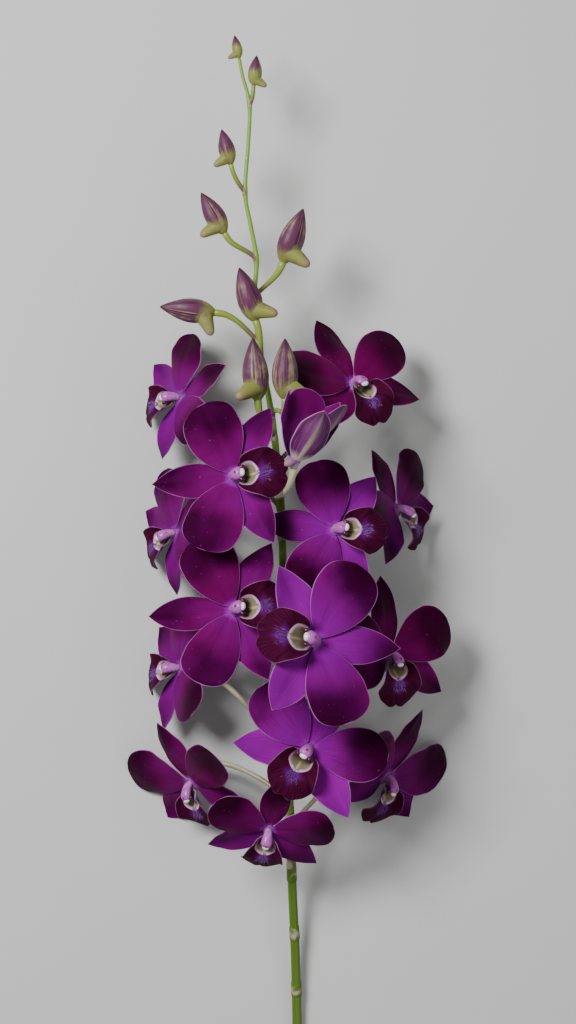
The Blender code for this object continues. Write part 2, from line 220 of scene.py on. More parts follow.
# Finishes. Colours are linear. Clouds, blotches, flecks and grain are counted per metre, a
# depth is in metres, and roughness is its least value and how much the clouds add to it.


@dataclass(frozen=True)
class TepalFront:
    """Face of a sepal or petal: dark velvet purple that turns violet near its root, the violet
    partly its own colour and partly painted light, with painted glare.
    """

    name: str = "tepal_front"
    deep: Colour = (0.020, 0.0, 0.009)
    body: Colour = (0.096, 0.0, 0.050)
    lit_violet: Colour = (0.158, 0.0, 0.195)
    glare: Colour = (0.250, 0.0, 0.270)
    root: Colour = (0.25, 0.008, 0.33)
    rim: Colour = (0.40, 0.15, 0.38)
    fleck: Colour = (0.34, 0.10, 0.34)
    clouds: float = 60.0
    blotches: float = 28.0
    flecks: float = 700.0
    grain: float = 1400.0
    veins_across: float = 20.0
    vein_share: float = 0.22
    vein_depth: float = 0.00006
    root_share: float = 0.75
    fleck_share: float = 0.18
    roughness: tuple[float, float] = (0.46, 0.20)

    def make(self) -> bpy.types.Material:
        """Build the material. Points store place (across, along, rim) and tone."""
        board = Board(self.name, IOR=1.25, Specular_IOR_Level=0.4,
                      Specular_Tint=(1.0, 0.0, 1.0, 1.0))
        across, along, rim = board.stored("place")
        glow, painted_light, seed = board.stored("tone")
        fan = board.vector(across * self.veins_across + seed, along * 0.05, seed)
        veins = board.noise(fan, 1.0, 3.0)
        cloud = board.noise(board.place(), self.clouds, 3.0)
        blotch = board.noise(board.place(), self.blotches)
        shade = glow + (cloud - 0.5) * 0.6 + (blotch - 0.5) * 1.2
        base = board.mix(board.smooth(shade, 0.0, 1.0), self.deep, self.body)
        # Painted light: lit violet, then glare, laid over the purple as strongly as the point's
        # stored painted light asks.
        lit = painted_light + (cloud - 0.5) * 0.4 + (blotch - 0.5) * 0.5
        base = board.mix(board.smooth(lit, 0.05, 1.0), base, self.lit_violet)
        base = board.mix(board.smooth(lit, 0.80, 1.5) * 0.60, base, self.glare)
        base = board.mix(board.smooth(veins, 0.48, 0.74) * self.vein_share, base, self.deep)
        pale = board.smooth(along + (veins - 0.5) * 5.0, 3.0, 0.6)
        base = board.mix(pale * self.root_share, base, self.root)
        flecks = board.smooth(board.noise(board.place(), self.flecks, 1.0), 0.72, 0.80)
        base = board.mix(flecks * self.fleck_share, base, self.fleck)
        # Pale line along the edge: painted edge highlight and glow through the thin edge.
        line = board.smooth(rim, 0.32, 0.08) * (0.2 + cloud * 0.8)
        base = board.mix(line, base, self.rim)
        grain = board.noise(board.place(), self.grain)
        board.bump(veins * 0.6 + grain * 0.4, self.vein_depth)
        return board.finish(base, board.uneven(self.roughness, cloud))


@dataclass(frozen=True)
class TepalBack:
    """Back of a sepal or petal: dusky lilac, purple outwards, with a cream middle rib and root."""

    lilac: Colour = (0.150, 0.018, 0.150)
    purple: Colour = (0.072, 0.001, 0.066)
    rib: Colour = (0.40, 0.33, 0.25)
    rim: Colour = (0.42, 0.22, 0.40)
    root: Colour = (0.52, 0.50, 0.36)
    veins_across: float = 12.0
    vein_depth: float = 0.00008
    roughness: tuple[float, float] = (0.42, 0.15)

    def make(self) -> bpy.types.Material:
        """Build the material. Points store place (across, along, rim) and tone."""
        board = Board("tepal_back", IOR=1.35, Specular_IOR_Level=0.4)
        across, along, rim = board.stored("place")
        _, _, seed = board.stored("tone")
        fan = board.vector(across * self.veins_across + seed, along * 0.06, seed)
        veins = board.noise(fan, 1.0, 3.0)
        edge = board.smooth(rim, 6.5, 0.8)
        outer = board.smooth(along, 8.0, 34.0) * 0.35
        base = board.mix(edge + outer + (veins - 0.5) * 0.8, self.lilac, self.purple)
        rib = board.smooth(abs(across) + (veins - 0.5) * 0.20, 0.26, 0.02)
        base = board.mix(rib * board.smooth(along, 40.0, 14.0) * 0.85, base, self.rib)
        base = board.mix(board.smooth(veins, 0.54, 0.36) * 0.10, base, self.rib)
        base = board.mix(board.smooth(along + (veins - 0.5) * 6.0, 9.0, 1.0), base, self.root)
        # Pale line along the edge: painted edge highlight.
        base = board.mix(board.smooth(rim, 0.60, 0.25) * 0.8, base, self.rim)
        board.bump(veins, self.vein_depth)
        return board.finish(base, board.uneven(self.roughness, veins))


@dataclass(frozen=True)
class RimSkin:
    """Thin pale edge of a petal or lip, coloured as a painted edge highlight."""

    name: str = "tepal_rim"
    colour: Colour = (0.42, 0.16, 0.46)
    deep: Colour = (0.16, 0.02, 0.20)
    clouds: float = 300.0
    roughness: float = 0.45

    def make(self) -> bpy.types.Material:
        """Build the material."""
        board = Board(self.name, Specular_IOR_Level=0.4)
        cloud = board.noise(board.place(), self.clouds)
        return board.finish(board.mix(cloud, self.deep, self.colour), self.roughness)


@dataclass(frozen=True)
class LipFront:
    """Face of the lip: maroon velvet with fine rays, a pale throat with painted shade in it and a
    violet middle.
    """

    velvet: Colour = (0.024, 0.0, 0.011)
    ray: Colour = (0.056, 0.003, 0.024)
    violet: Colour = (0.090, 0.002, 0.145)
    throat: Colour = (0.21, 0.18, 0.11)
    throat_ridge: Colour = (0.42, 0.38, 0.22)
    throat_rim: Colour = (0.66, 0.42, 0.60)
    throat_side: Colour = (0.40, 0.22, 0.34)
    shadow: Colour = (0.045, 0.030, 0.018)
    rim: Colour = (0.24, 0.07, 0.18)
    clouds: float = 300.0
    grain: float = 2200.0
    rays_round: float = 46.0
    ray_depth: float = 0.00018
    violet_at: float = 13.4
    throat_at: float = 5.6
    throat_half_width: float = 6.7
    throat_half_length: float = 6.2
    roughness: tuple[float, float] = (0.60, 0.20)

    def make(self) -> bpy.types.Material:
        """Build the material. Points store place (across mm, along mm, rim)."""
        board = Board("lip_front", IOR=1.25, Specular_IOR_Level=0.3,
                      Specular_Tint=(1.0, 0.3, 0.6, 1.0))
        across, along, rim = board.stored("place")
        ray_angle = board.math("ARCTAN2", across, along - 6.0)
        rays = board.noise(board.vector(ray_angle * self.rays_round, along * 0.10, 0.0), 1.0, 2.0)
        cloud = board.noise(board.place(), self.clouds)
        base = board.mix(board.smooth(rays, 0.40, 0.66), self.velvet, self.ray)
        patch = abs(across) * 0.9 + abs(along - self.violet_at) * 0.75 + (rays - 0.5) * 7.0
        base = board.mix(board.smooth(patch, 6.2, 1.6) * 0.9, base, self.violet)
        pinch = board.smooth(along, 8.0, 11.5) * abs(across) * 0.03
        aside = across * (1 / self.throat_half_width)
        ahead = (along - self.throat_at) * (1 / self.throat_half_length)
        reach = board.math("SQRT", aside ** 2.0 + ahead ** 2.0)
        reach = reach + pinch + (cloud - 0.5) * 0.08
        # The inside of the throat is its pale green grey darkened to olive as painted shade of the
        # hollow, with painted shadow deeper in, under the column.
        hollow = board.mix(board.smooth(abs(across), 1.0, 0.2), self.throat, self.throat_ridge)
        hollow = board.mix(board.smooth(along, 7.5, 3.5) * 0.85, hollow, self.shadow)
        # The pale ring is lighter at its front: painted highlight on the ring.
        front = board.smooth(along, 7.0, 11.0)
        ring = board.mix(front, self.throat_side, self.throat_rim)
        pale = board.mix(board.smooth(reach + front * 0.08, 0.70, 0.94), hollow, ring)
        base = board.mix(board.smooth(reach, 1.07, 0.95), base, pale)
        # Pale line along the edge: painted edge highlight.
        base = board.mix(board.smooth(rim, 0.4, 0.1) * (0.2 + cloud * 0.7), base, self.rim)
        grain = board.noise(board.place(), self.grain)
        board.bump(rays * 0.7 + grain * 0.5, self.ray_depth)
        return board.finish(base, board.uneven(self.roughness, cloud))


@dataclass(frozen=True)
class LipBack:
    """Outside of the lip: violet with a whitish claw."""

    violet: Colour = (0.15, 0.012, 0.24)
    maroon: Colour = (0.07, 0.004, 0.06)
    claw: Colour = (0.66, 0.56, 0.62)
    ray_depth: float = 0.0001
    roughness: float = 0.5

    def make(self) -> bpy.types.Material:
        """Build the material. Points store place (across mm, along mm, rim)."""
        board = Board("lip_back", IOR=1.3, Specular_IOR_Level=0.4)
        across, along, _ = board.stored("place")
        rays = board.noise(board.vector(across * 1.3, along * 0.10, 2.0), 1.0, 3.0)
        base = board.mix(board.smooth(along, 8.0, 18.0), self.violet, self.maroon)
        base = board.mix(board.smooth(rays, 0.55, 0.75) * 0.4, base, self.maroon)
        base = board.mix(board.smooth(along + (rays - 0.5) * 5.0, 7.0, 1.5), base, self.claw)
        board.bump(rays, self.ray_depth)
        return board.finish(base, self.roughness)


@dataclass(frozen=True)
class ColumnSkin:
    """Waxy column: rose violet above, whitish at its foot, dark beside the cap and at its top,
    partly its own colour and partly painted shadow of the gaps there.
    """

    rose: Colour = (0.40, 0.09, 0.40)
    white: Colour = (0.52, 0.24, 0.52)
    under: Colour = (0.52, 0.46, 0.36)
    purple: Colour = (0.22, 0.02, 0.24)
    dark: Colour = (0.045, 0.0, 0.030)
    clouds: float = 500.0
    blotches: float = 900.0
    roughness: float = 0.34

    def make(self) -> bpy.types.Material:
        """Build the material. Points store place (turn from the top, along mm, share)."""
        board = Board("column_skin", Specular_IOR_Level=0.4, Coat_Weight=0.1)
        turn, along, _ = board.stored("place")
        cloud = board.noise(board.place(), self.clouds)
        base = board.mix(board.smooth(along + (cloud - 0.5) * 3.0, 0.5, 5.5), self.white, self.rose)
        mottle = board.noise(board.place(), self.blotches)
        base = board.mix(board.smooth(mottle, 0.50, 0.70) * 0.55, base, self.purple)
        base = board.mix(board.smooth(abs(turn), 0.62, 0.80), base, self.under)
        # Dark on the flanks beside the cap and a dark spot on top at the cap: partly the column's
        # own colour, partly painted shadow of the gaps there.
        edge = board.smooth(abs(abs(turn) - 0.52), 0.14, 0.05) * board.smooth(along, 5.0, 8.0)
        base = board.mix(edge * 0.8, base, self.dark)
        spot = board.math("SQRT", (turn * 8.0) ** 2.0 + (along - 8.3) ** 2.0)
        base = board.mix(board.smooth(spot, 0.75, 0.40) * 0.85, base, self.dark)
        return board.finish(base, self.roughness)


@dataclass(frozen=True)
class WingSkin:
    """Dark glossy wing ends on both sides of the cap, their darkness partly their own and partly
    painted shadow of the gaps there.
    """

    dark: Colour = (0.040, 0.0, 0.026)
    red: Colour = (0.12, 0.004, 0.05)
    clouds: float = 900.0
    roughness: float = 0.35

    def make(self) -> bpy.types.Material:
        """Build the material."""
        board = Board("wing_skin", Specular_IOR_Level=0.4, Coat_Weight=0.2)
        cloud = board.noise(board.place(), self.clouds)
        base = board.mix(board.smooth(cloud, 0.5, 0.8), self.dark, self.red)
        return board.finish(base, self.roughness)


@dataclass(frozen=True)
class CapWax:
    """Glossy white cap at the tip of the column."""

    white: Colour = (0.86, 0.80, 0.84)
    rose: Colour = (0.56, 0.26, 0.52)
    clouds: float = 700.0
    roughness: float = 0.25

    def make(self) -> bpy.types.Material:
        """Build the material."""
        board = Board("cap_wax", Specular_IOR_Level=0.6, Coat_Weight=0.5, Coat_Roughness=0.12)
        cloud = board.noise(board.place(), self.clouds)
        base = board.mix(board.smooth(cloud, 0.5, 0.8), self.white, self.rose)
        return board.finish(base, self.roughness)


@dataclass(frozen=True)
class KeelFuzz:
    """Violet hairs on the middle of the lip."""

    dark: Colour = (0.075, 0.002, 0.11)
    light: Colour = (0.22, 0.07, 0.32)
    clouds: float = 1500.0
    roughness: float = 0.5

    def make(self) -> bpy.types.Material:
        """Build the material."""
        board = Board("keel_fuzz", Sheen_Weight=0.4, Specular_IOR_Level=0.3)
        cloud = board.noise(board.place(), self.clouds)
        return board.finish(board.mix(cloud, self.dark, self.light), self.roughness)


@dataclass(frozen=True)
class GreenSkin:
    """Skin of a stalk, from one green to another along it, with faint long streaks."""

    name: str
    low: Colour
    high: Colour
    streak: Colour
    blush: Colour
    change: tuple[float, float]
    streak_share: float = 0.35
    blush_share: float = 0.0
    streaks_round: float = 9.0
    clouds: float = 120.0
    grain: float = 900.0
    depth: float = 0.00012
    roughness: tuple[float, float] = (0.38, 0.16)

    def make(self) -> bpy.types.Material:
        """Build the material. Points store place (turn, along mm, share of length)."""
        board = Board(self.name, Specular_IOR_Level=0.45, Coat_Weight=0.08)
        turn, along, share = board.stored("place")
        streaks = board.noise(board.vector(turn * self.streaks_round, along * 0.02, 0.0), 1.0, 3.0)
        cloud = board.noise(board.place(), self.clouds, 3.0)
        base = board.mix(board.smooth(along, *self.change), self.low, self.high)
        base = board.mix(board.smooth(streaks, 0.45, 0.72) * self.streak_share, base, self.streak)
        red = board.smooth(share + (cloud - 0.5) * 0.5, 0.55, 0.0) * self.blush_share
        base = board.mix(red, base, self.blush)
        grain = board.noise(board.place(), self.grain)
        board.bump(streaks * 0.7 + grain * 0.3, self.depth)
        return board.finish(base, board.uneven(self.roughness, cloud))


@dataclass(frozen=True)
class NeckSkin:
    """Neck that joins the tepals, or the spur below it: pale lilac, then violet."""

    name: str
    pale: Colour
    violet: Colour
    change: tuple[float, float]
    streaks_round: float = 10.0
    depth: float = 0.00012
    roughness: tuple[float, float] = (0.42, 0.12)

    def make(self) -> bpy.types.Material:
        """Build the material. Points store place (turn, along mm, share of length)."""
        board = Board(self.name, IOR=1.35, Specular_IOR_Level=0.4)
        turn, along, share = board.stored("place")
        streaks = board.noise(board.vector(turn * self.streaks_round, along * 0.1, 0.0), 1.0, 3.0)
        tinge = board.smooth(share + (streaks - 0.5) * 0.5, *self.change)
        base = board.mix(tinge, self.pale, self.violet)
        board.bump(streaks, self.depth)
        return board.finish(base, board.uneven(self.roughness, streaks))


@dataclass(frozen=True)
class DrySkin:
    """Papery dry tissue of sheaths and scales, with fresh green left in it."""

    pale: Colour = (0.32, 0.30, 0.21)
    brown: Colour = (0.16, 0.11, 0.05)
    green: Colour = (0.066, 0.122, 0.001)
    fibres_round: float = 14.0
    clouds: float = 400.0
    depth: float = 0.0001
    roughness: float = 0.65

    def make(self) -> bpy.types.Material:
        """Build the material. Points store place (turn, along mm, freshness)."""
        board = Board("dry_skin", Specular_IOR_Level=0.3)
        turn, along, fresh = board.stored("place")
        fibres = board.noise(board.vector(turn * self.fibres_round, along * 0.1, 0.0), 1.0, 3.0)
        cloud = board.noise(board.place(), self.clouds, 3.0)
        worn = cloud + (fibres - 0.5) * 0.6
        base = board.mix(board.smooth(worn, 0.48, 0.70), self.pale, self.brown)
        base = board.mix(board.smooth(fresh + (cloud - 0.5) * 1.4, 0.05, 0.85), base, self.green)
        board.bump(fibres, self.depth)
        return board.finish(base, self.roughness)


@dataclass(frozen=True)
class CutSkin:
    """Cut end of the stalk: pale wet pith with small strands and a green rind."""

    pith: Colour = (0.52, 0.58, 0.28)
    strand: Colour = (0.26, 0.32, 0.10)
    strands: float = 1600.0
    depth: float = 0.0002
    roughness: float = 0.5

    def make(self) -> bpy.types.Material:
        """Build the material."""
        board = Board("cut_skin", Specular_IOR_Level=0.5)
        spots = board.noise(board.place(), self.strands)
        base = board.mix(board.smooth(spots, 0.52, 0.66), self.pith, self.strand)
        board.bump(spots, self.depth)
        return board.finish(base, self.roughness)


@dataclass(frozen=True)
class BudSkin:
    """Bud: mauve with cream and dark stripes, yellow green at its base and on its spur."""

    mauve: Colour = (0.096, 0.024, 0.064)
    dark: Colour = (0.038, 0.004, 0.024)
    cream: Colour = (0.27, 0.24, 0.125)
    green: Colour = (0.205, 0.225, 0.048)
    pink: Colour = (0.30, 0.15, 0.15)
    stripes_round: float = 19.0
    bands_round: float = 3.4
    clouds: float = 220.0
    grain: float = 1200.0
    depth: float = 0.00015
    roughness: tuple[float, float] = (0.36, 0.20)

    def make(self) -> bpy.types.Material:
        """Build the material. Points store place (turn, share of length, spur) and tone."""
        board = Board("bud_skin", IOR=1.35, Specular_IOR_Level=0.4)
        turn, share, spur = board.stored("place")
        ripe, seam, seed = board.stored("tone")
        lines = board.vector(turn * self.stripes_round + seed, share * 1.3, seed)
        stripes = board.noise(lines, 1.0, 4.0)
        broad = board.vector(turn * self.bands_round + seed, share * 1.6, seed)
        bands = board.noise(broad, 1.0)
        cloud = board.noise(board.place(), self.clouds, 3.0)
        edge = board.smooth(seam, 0.0, 0.30) - board.smooth(seam, 0.30, 0.60)
        worn = stripes * 0.6 + bands * 0.5 + (cloud - 0.5) * 0.4 - edge * 0.16
        base = board.mix(board.smooth(worn, 0.28, 0.56), self.cream, self.mauve)
        base = board.mix(board.smooth(stripes, 0.54, 0.72) * 0.60, base, self.dark)
        base = board.mix(board.smooth(share, 0.72, 1.02) * 0.8, base, self.dark)
        base = board.mix(board.smooth(seam, 0.40, 0.75) * 0.85, base, self.dark)
        low = board.smooth(share + (stripes - 0.5) * 0.5 + (ripe - 1.0) * 0.7, 0.24, -0.02)
        base = board.mix(low, base, self.green)
        grown = board.smooth(spur + (stripes - 0.5) * 0.9 + (cloud - 0.5) * 0.6, 0.18, 0.62)
        base = board.mix(grown * 0.92, base, self.green)
        tinge = board.smooth(bands + (cloud - 0.5) * 0.8, 0.46, 0.74) * grown
        base = board.mix(tinge * 0.5, base, self.mauve)
        base = board.mix(board.smooth(spur + (cloud - 0.5) * 0.3, 0.80, 1.0) * 0.5, base, self.pink)
        grain = board.noise(board.place(), self.grain)
        board.bump(stripes * 0.6 + grain * 0.3, self.depth)
        return board.finish(base, board.uneven(self.roughness, cloud))


@dataclass(frozen=True)
class Paper:
    """Pale matt surface under the stem."""

    light: Colour = (0.56, 0.57, 0.56)
    dark: Colour = (0.50, 0.51, 0.50)
    clouds: float = 5.0
    roughness: float = 0.8

    def make(self) -> bpy.types.Material:
        """Build the material."""
        board = Board("pale_surface", Specular_IOR_Level=0.2)
        cloud = board.noise(board.place(), self.clouds, 4.0)
        return board.finish(board.mix(cloud, self.dark, self.light), self.roughness)


class Finishes:
    """All materials, made once."""

    def __init__(self) -> None:
        """Make every material."""
        self.tepal = [TepalFront().make(), TepalBack().make(), RimSkin().make()]
        # Lighter copy of the tepal front for the half-open bloom: painted light on its shaded
        # inside.
        lit_copy = TepalFront("tepal_front_lit_copy", deep=(0.10, 0.0, 0.07), body=(0.20, 0.004, 0.155),
                           lit_violet=(0.30, 0.012, 0.285))
        self.lit_copy = [lit_copy.make(), *self.tepal[1:]]
        self.lip = [LipFront().make(), LipBack().make(),
                    RimSkin("lip_rim", (0.30, 0.10, 0.28), (0.10, 0.01, 0.09)).make()]
        self.column = ColumnSkin().make()
        self.wing = WingSkin().make()
        self.cap = CapWax().make()
        self.fuzz = KeelFuzz().make()
        self.stalk = GreenSkin(
            "stalk_skin", low=(0.066, 0.122, 0.001), high=(0.16, 0.30, 0.022),
            streak=(0.11, 0.18, 0.008), blush=(0.16, 0.05, 0.05), change=(150.0, 420.0)).make()
        self.neck = NeckSkin(
            "neck_skin", pale=(0.42, 0.33, 0.32), violet=(0.22, 0.04, 0.28),
            change=(0.30, 0.85)).make()
        self.spur = NeckSkin(
            "spur_skin", pale=(0.24, 0.08, 0.24), violet=(0.26, 0.16, 0.17),
            change=(0.30, 1.00)).make()
        self.bloom_stalk = GreenSkin(
            "bloom_stalk_skin", low=(0.22, 0.25, 0.08), high=(0.44, 0.43, 0.26),
            streak=(0.32, 0.22, 0.22), blush=(0.16, 0.05, 0.08), change=(4.0, 28.0),
            streak_share=0.4, blush_share=0.7).make()
        self.bud_stalk = GreenSkin(
            "bud_stalk_skin", low=(0.115, 0.155, 0.012), high=(0.20, 0.27, 0.028),
            streak=(0.30, 0.36, 0.09), blush=(0.16, 0.06, 0.07), change=(0.0, 18.0),
            streak_share=0.4, blush_share=0.9).make()
        self.dry = DrySkin().make()
        self.cut = CutSkin().make()
        self.bud = BudSkin().make()


# Mesh tools


def deselect() -> None:
    """Leave nothing selected."""
    bpy.ops.object.select_all(action="DESELECT")


def current(piece: bpy.types.Object) -> None:
    """Make a piece the only selected and active one."""
    deselect()
    piece.select_set(True)
    bpy.context.view_layer.objects.active = piece


def apply_modifiers(piece: bpy.types.Object) -> None:
    """Apply a piece's modifiers in order."""
    current(piece)
    for modifier in list(piece.modifiers):
        bpy.ops.object.modifier_apply(modifier=modifier.name)


def join(name: str, pieces: Sequence[bpy.types.Object]) -> bpy.types.Object:
    """Join pieces into the first one and name it."""
    current(pieces[0])
    for piece in pieces[1:]:
        piece.select_set(True)
    if len(pieces) > 1:
        bpy.ops.object.join()
    pieces[0].name = name
    pieces[0].data.name = name
    return pieces[0]


def to_frame(point: Vector) -> Vector:
    """Turn millimetres along the stem from its cut end into the frame's metres."""
    return (point + FRAME_SHIFT) * MM


def store(piece: bpy.types.Object, name: str, values: Iterable[Sequence[float]]) -> None:
    """Store three numbers for each point of a piece, in place of any that it has."""
    layers = piece.data.attributes
    layer = layers.get(name) or layers.new(name, "FLOAT_VECTOR", "POINT")
    layer.data.foreach_set("vector", [number for value in values for number in value])


def recall(piece: bpy.types.Object, name: str) -> list[tuple[float, float, float]]:
    """The three numbers that a piece stores for each of its points."""
    return [tuple(item.vector) for item in piece.data.attributes[name].data]


def thicken(piece: bpy.types.Object, thickness: float, even: bool = False,
            rounded: bool = True) -> None:
    """Turn a sheet into a smooth blade.

    Args:
        piece: the sheet, whose second and third material dress its back and its rim.
        thickness: in millimetres.
        even: whether sharp bends keep the full thickness.
        rounded: whether the blade is subdivided once.
    """
    last = len(piece.data.materials) - 1
    wall = piece.modifiers.new("wall", "SOLIDIFY")
    wall.thickness = thickness * MM
    wall.offset = 0.0
    wall.use_even_offset = even
    wall.material_offset = min(1, last)
    wall.material_offset_rim = min(2, last)
    if rounded:
        round_off = piece.modifiers.new("round", "SUBSURF")
        round_off.levels = round_off.render_levels = 1
    apply_modifiers(piece)
    piece.data.shade_smooth()


def sheet(rows: int, columns: int) -> tuple[bpy.types.Object, list[tuple[float, float]]]:
    """Add a flat grid.

    Args:
        rows: faces along it.
        columns: faces across it.

    Returns:
        The grid, and for each point its share of the length and its place across, -1 to 1.
    """
    deselect()
    bpy.ops.mesh.primitive_grid_add(x_subdivisions=columns, y_subdivisions=rows, size=2.0)
    piece = bpy.context.object
    return piece, [((v.co.y + 1) / 2, v.co.x) for v in piece.data.vertices]


def curve_through(points: Sequence[Sequence[float]], steps: int) -> list[tuple[float, ...]]:
    """Return points on a smooth curve through points of any number of values."""
    count = len(points)
    result = []
    for i in range(count - 1):
        before, here = points[max(i - 1, 0)], points[i]
        there, after = points[i + 1], points[min(i + 2, count - 1)]
        for step in range(steps):
            t = step / steps
            result.append(tuple(
                0.5 * (2 * b + (c - a) * t + (2 * a - 5 * b + 4 * c - d) * t * t
                       + (3 * b - a - 3 * c + d) * t ** 3)
                for a, b, c, d in zip(before, here, there, after)))
    result.append(tuple(points[-1]))
    return result


def tube(rings: Sequence[Sequence[float]], sides: int, material: bpy.types.Material,
         bulge: float = 0.6, start: Vector | None = None,
         shape: Callable[[float, float], float] | None = None) -> bpy.types.Object:
    """Turn a ball into a closed tube along rings, with domed ends.

    Args:
        rings: x, y, z and radius of each ring.
        sides: points round it.
        material: its skin.
        bulge: height of the domed ends in end radii.
        start: direction of the first point of each ring.
        shape: factor on the radius at a turn and a share of the length.

    Returns:
        The tube, which stores place (turn -1 to 1, mm along, share of the length).
    """
    deselect()
    count = len(rings)
    bpy.ops.mesh.primitive_uv_sphere_add(segments=sides, ring_count=count + 1, radius=1.0)
    piece = bpy.context.object
    centres = [Vector(ring[:3]) for ring in rings]
    axes, along = [], [0.0]
    side = start
    for i in range(count):
        ahead = (centres[min(i + 1, count - 1)] - centres[max(i - 1, 0)]).normalized()
        side = side if side is not None else ahead.orthogonal()
        side = (side - ahead * side.dot(ahead)).normalized()
        axes.append((ahead, side, ahead.cross(side)))
        if i:
            along.append(along[-1] + (centres[i] - centres[i - 1]).length)
    places = []
    for vertex in piece.data.vertices:
        level = round((1 - math.acos(max(-1.0, min(1.0, vertex.co.z))) / math.pi) * (count + 1))
        i = min(max(level - 1, 0), count - 1)
        ahead, side, other = axes[i]
        if level in (0, count + 1):
            tip = rings[i][3] * bulge * (1 if level else -1)
            vertex.co = to_frame(centres[i] + ahead * tip)
            places.append((0.0, along[i], along[i] / along[-1]))
            continue
        turn = math.atan2(vertex.co.y, vertex.co.x)
        radius = rings[i][3] * (shape(turn, along[i] / along[-1]) if shape else 1.0)
        out = side * math.cos(turn) + other * math.sin(turn)
        vertex.co = to_frame(centres[i] + out * radius)
        places.append((turn / math.pi, along[i], along[i] / along[-1]))
    store(piece, "place", places)
    piece.data.materials.append(material)
    piece.data.shade_smooth()
    return piece


def smoothstep(value: float, low: float, high: float) -> float:
    """Smooth step from 0 where the value is low to 1 where it is high."""
    part = max(0.0, min(1.0, (value - low) / (high - low)))
    return part * part * (3 - 2 * part)


# Bloom


class Outline(Enum):
    """Shape of a tepal's outer half."""

    POINTED = "pointed"
    ROUNDED = "rounded"


@dataclass(frozen=True)
class Tepal:
    """One of a bloom's five coloured leaves.

    Attributes:
        outline: shape of its outer half.
        length, width, lift, wave: in millimetres.
        widest: share of the length at which it is widest.
        root: half its width where it starts, in millimetres.
        cup: how far its edges bend forward, in radians across the width.
        angle: place round the bloom in degrees, from the top.
        glow: how far its own colour is from the darkest purple.
    """

    outline: Outline
    length: float
    width: float
    widest: float
    root: float
    cup: float
    angle: float
    lift: float
    wave: float
    glow: float

    root_power: float = 1.25
    pointed_power: float = 1.9
    rounded_power: float = 3.0
    pointed_tip: float = 0.35
    rounded_tip: float = 1.2

    def half_width(self, t: float) -> float:
        """Half width at the share t of the length."""
        half = self.width / 2
        if t < self.widest:
            grown = math.sin(math.pi / 2 * t / self.widest) ** self.root_power
            return self.root + (half - self.root) * grown
        past = (t - self.widest) / (1 - self.widest)
        if self.outline is Outline.POINTED:
            return max(half * (1 - past ** self.pointed_power), self.pointed_tip)
        return max(half * math.sqrt(max(1 - past ** self.rounded_power, 0.0)), self.rounded_tip)


SEPAL_TOP = Tepal(Outline.POINTED, 38.0, 17.5, 0.48, 1.7, -0.5, 0.0, -1.3, 0.3, 0.25)
SEPAL_SIDE = Tepal(Outline.POINTED, 35.0, 19.0, 0.42, 1.9, 0.4, 119.0, -1.3, 0.5, 0.55)
PETAL = Tepal(Outline.ROUNDED, 37.0, 30.0, 0.62, 1.7, -0.4, 65.0, 0.0, 0.9, 0.30)
TEPALS = (SEPAL_TOP, SEPAL_SIDE, replace(SEPAL_SIDE, angle=-119.0),
          PETAL, replace(PETAL, angle=-65.0))


@dataclass(frozen=True)
class Opening:
    """How far a bloom is open: slopes at root and tip in degrees, and shares of width."""

    sepals: tuple[float, float]
    petals: tuple[float, float]
    sepal_spread: float = 1.0
    petal_spread: float = 1.0
    cup: float | None = None


OPEN = Opening(sepals=(7.0, -4.0), petals=(16.0, -4.0))
HALF_OPEN = Opening(sepals=(46.0, 90.0), petals=(56.0, 88.0), petal_spread=0.8, cup=1.0)


@dataclass(frozen=True)
class Place:
    """Where a bloom sits, which way it looks and how much painted light its middle gets."""

    centre: tuple[float, float, float]
    face: tuple[float, float, float]
    up: tuple[float, float, float]
    size: float
    node: float
    rests: bool = False
    lean: tuple[float, float, float] | None = None
    # Painted light: how much lit violet and glare this bloom's tepals get.
    lit_violet: float = 0.5

    solid_thickness: float = 0.75
    rest_sink: float = 5.0
    rest_steps: int = 20
    rest_steps_aside: int = 4

    def frame(self) -> Matrix:
        """Matrix from the bloom's own frame: +Z faces out and +Y is its top sepal."""
        face = Vector(self.face).normalized()
        up = Vector(self.up)
        up = (up - face * up.dot(face)).normalized()
        turn = Matrix((up.cross(face), up, face)).transposed().to_4x4()
        frame = Matrix.Translation(self.centre) @ turn @ Matrix.Scale(self.size, 4)
        if not self.rests:
            return frame
        plain = TepalForm(frame, OPEN, None)
        long, wide = self.rest_steps, self.rest_steps_aside
        places = [plain.surface(tepal)(t / long, s / wide) for tepal in TEPALS
                  for t in range(long + 1) for s in range(-wide, wide + 1)]
        lowest = min(place.z for place in places) - self.solid_thickness / 2
        return Matrix.Translation((0.0, 0.0, -lowest - self.rest_sink)) @ frame


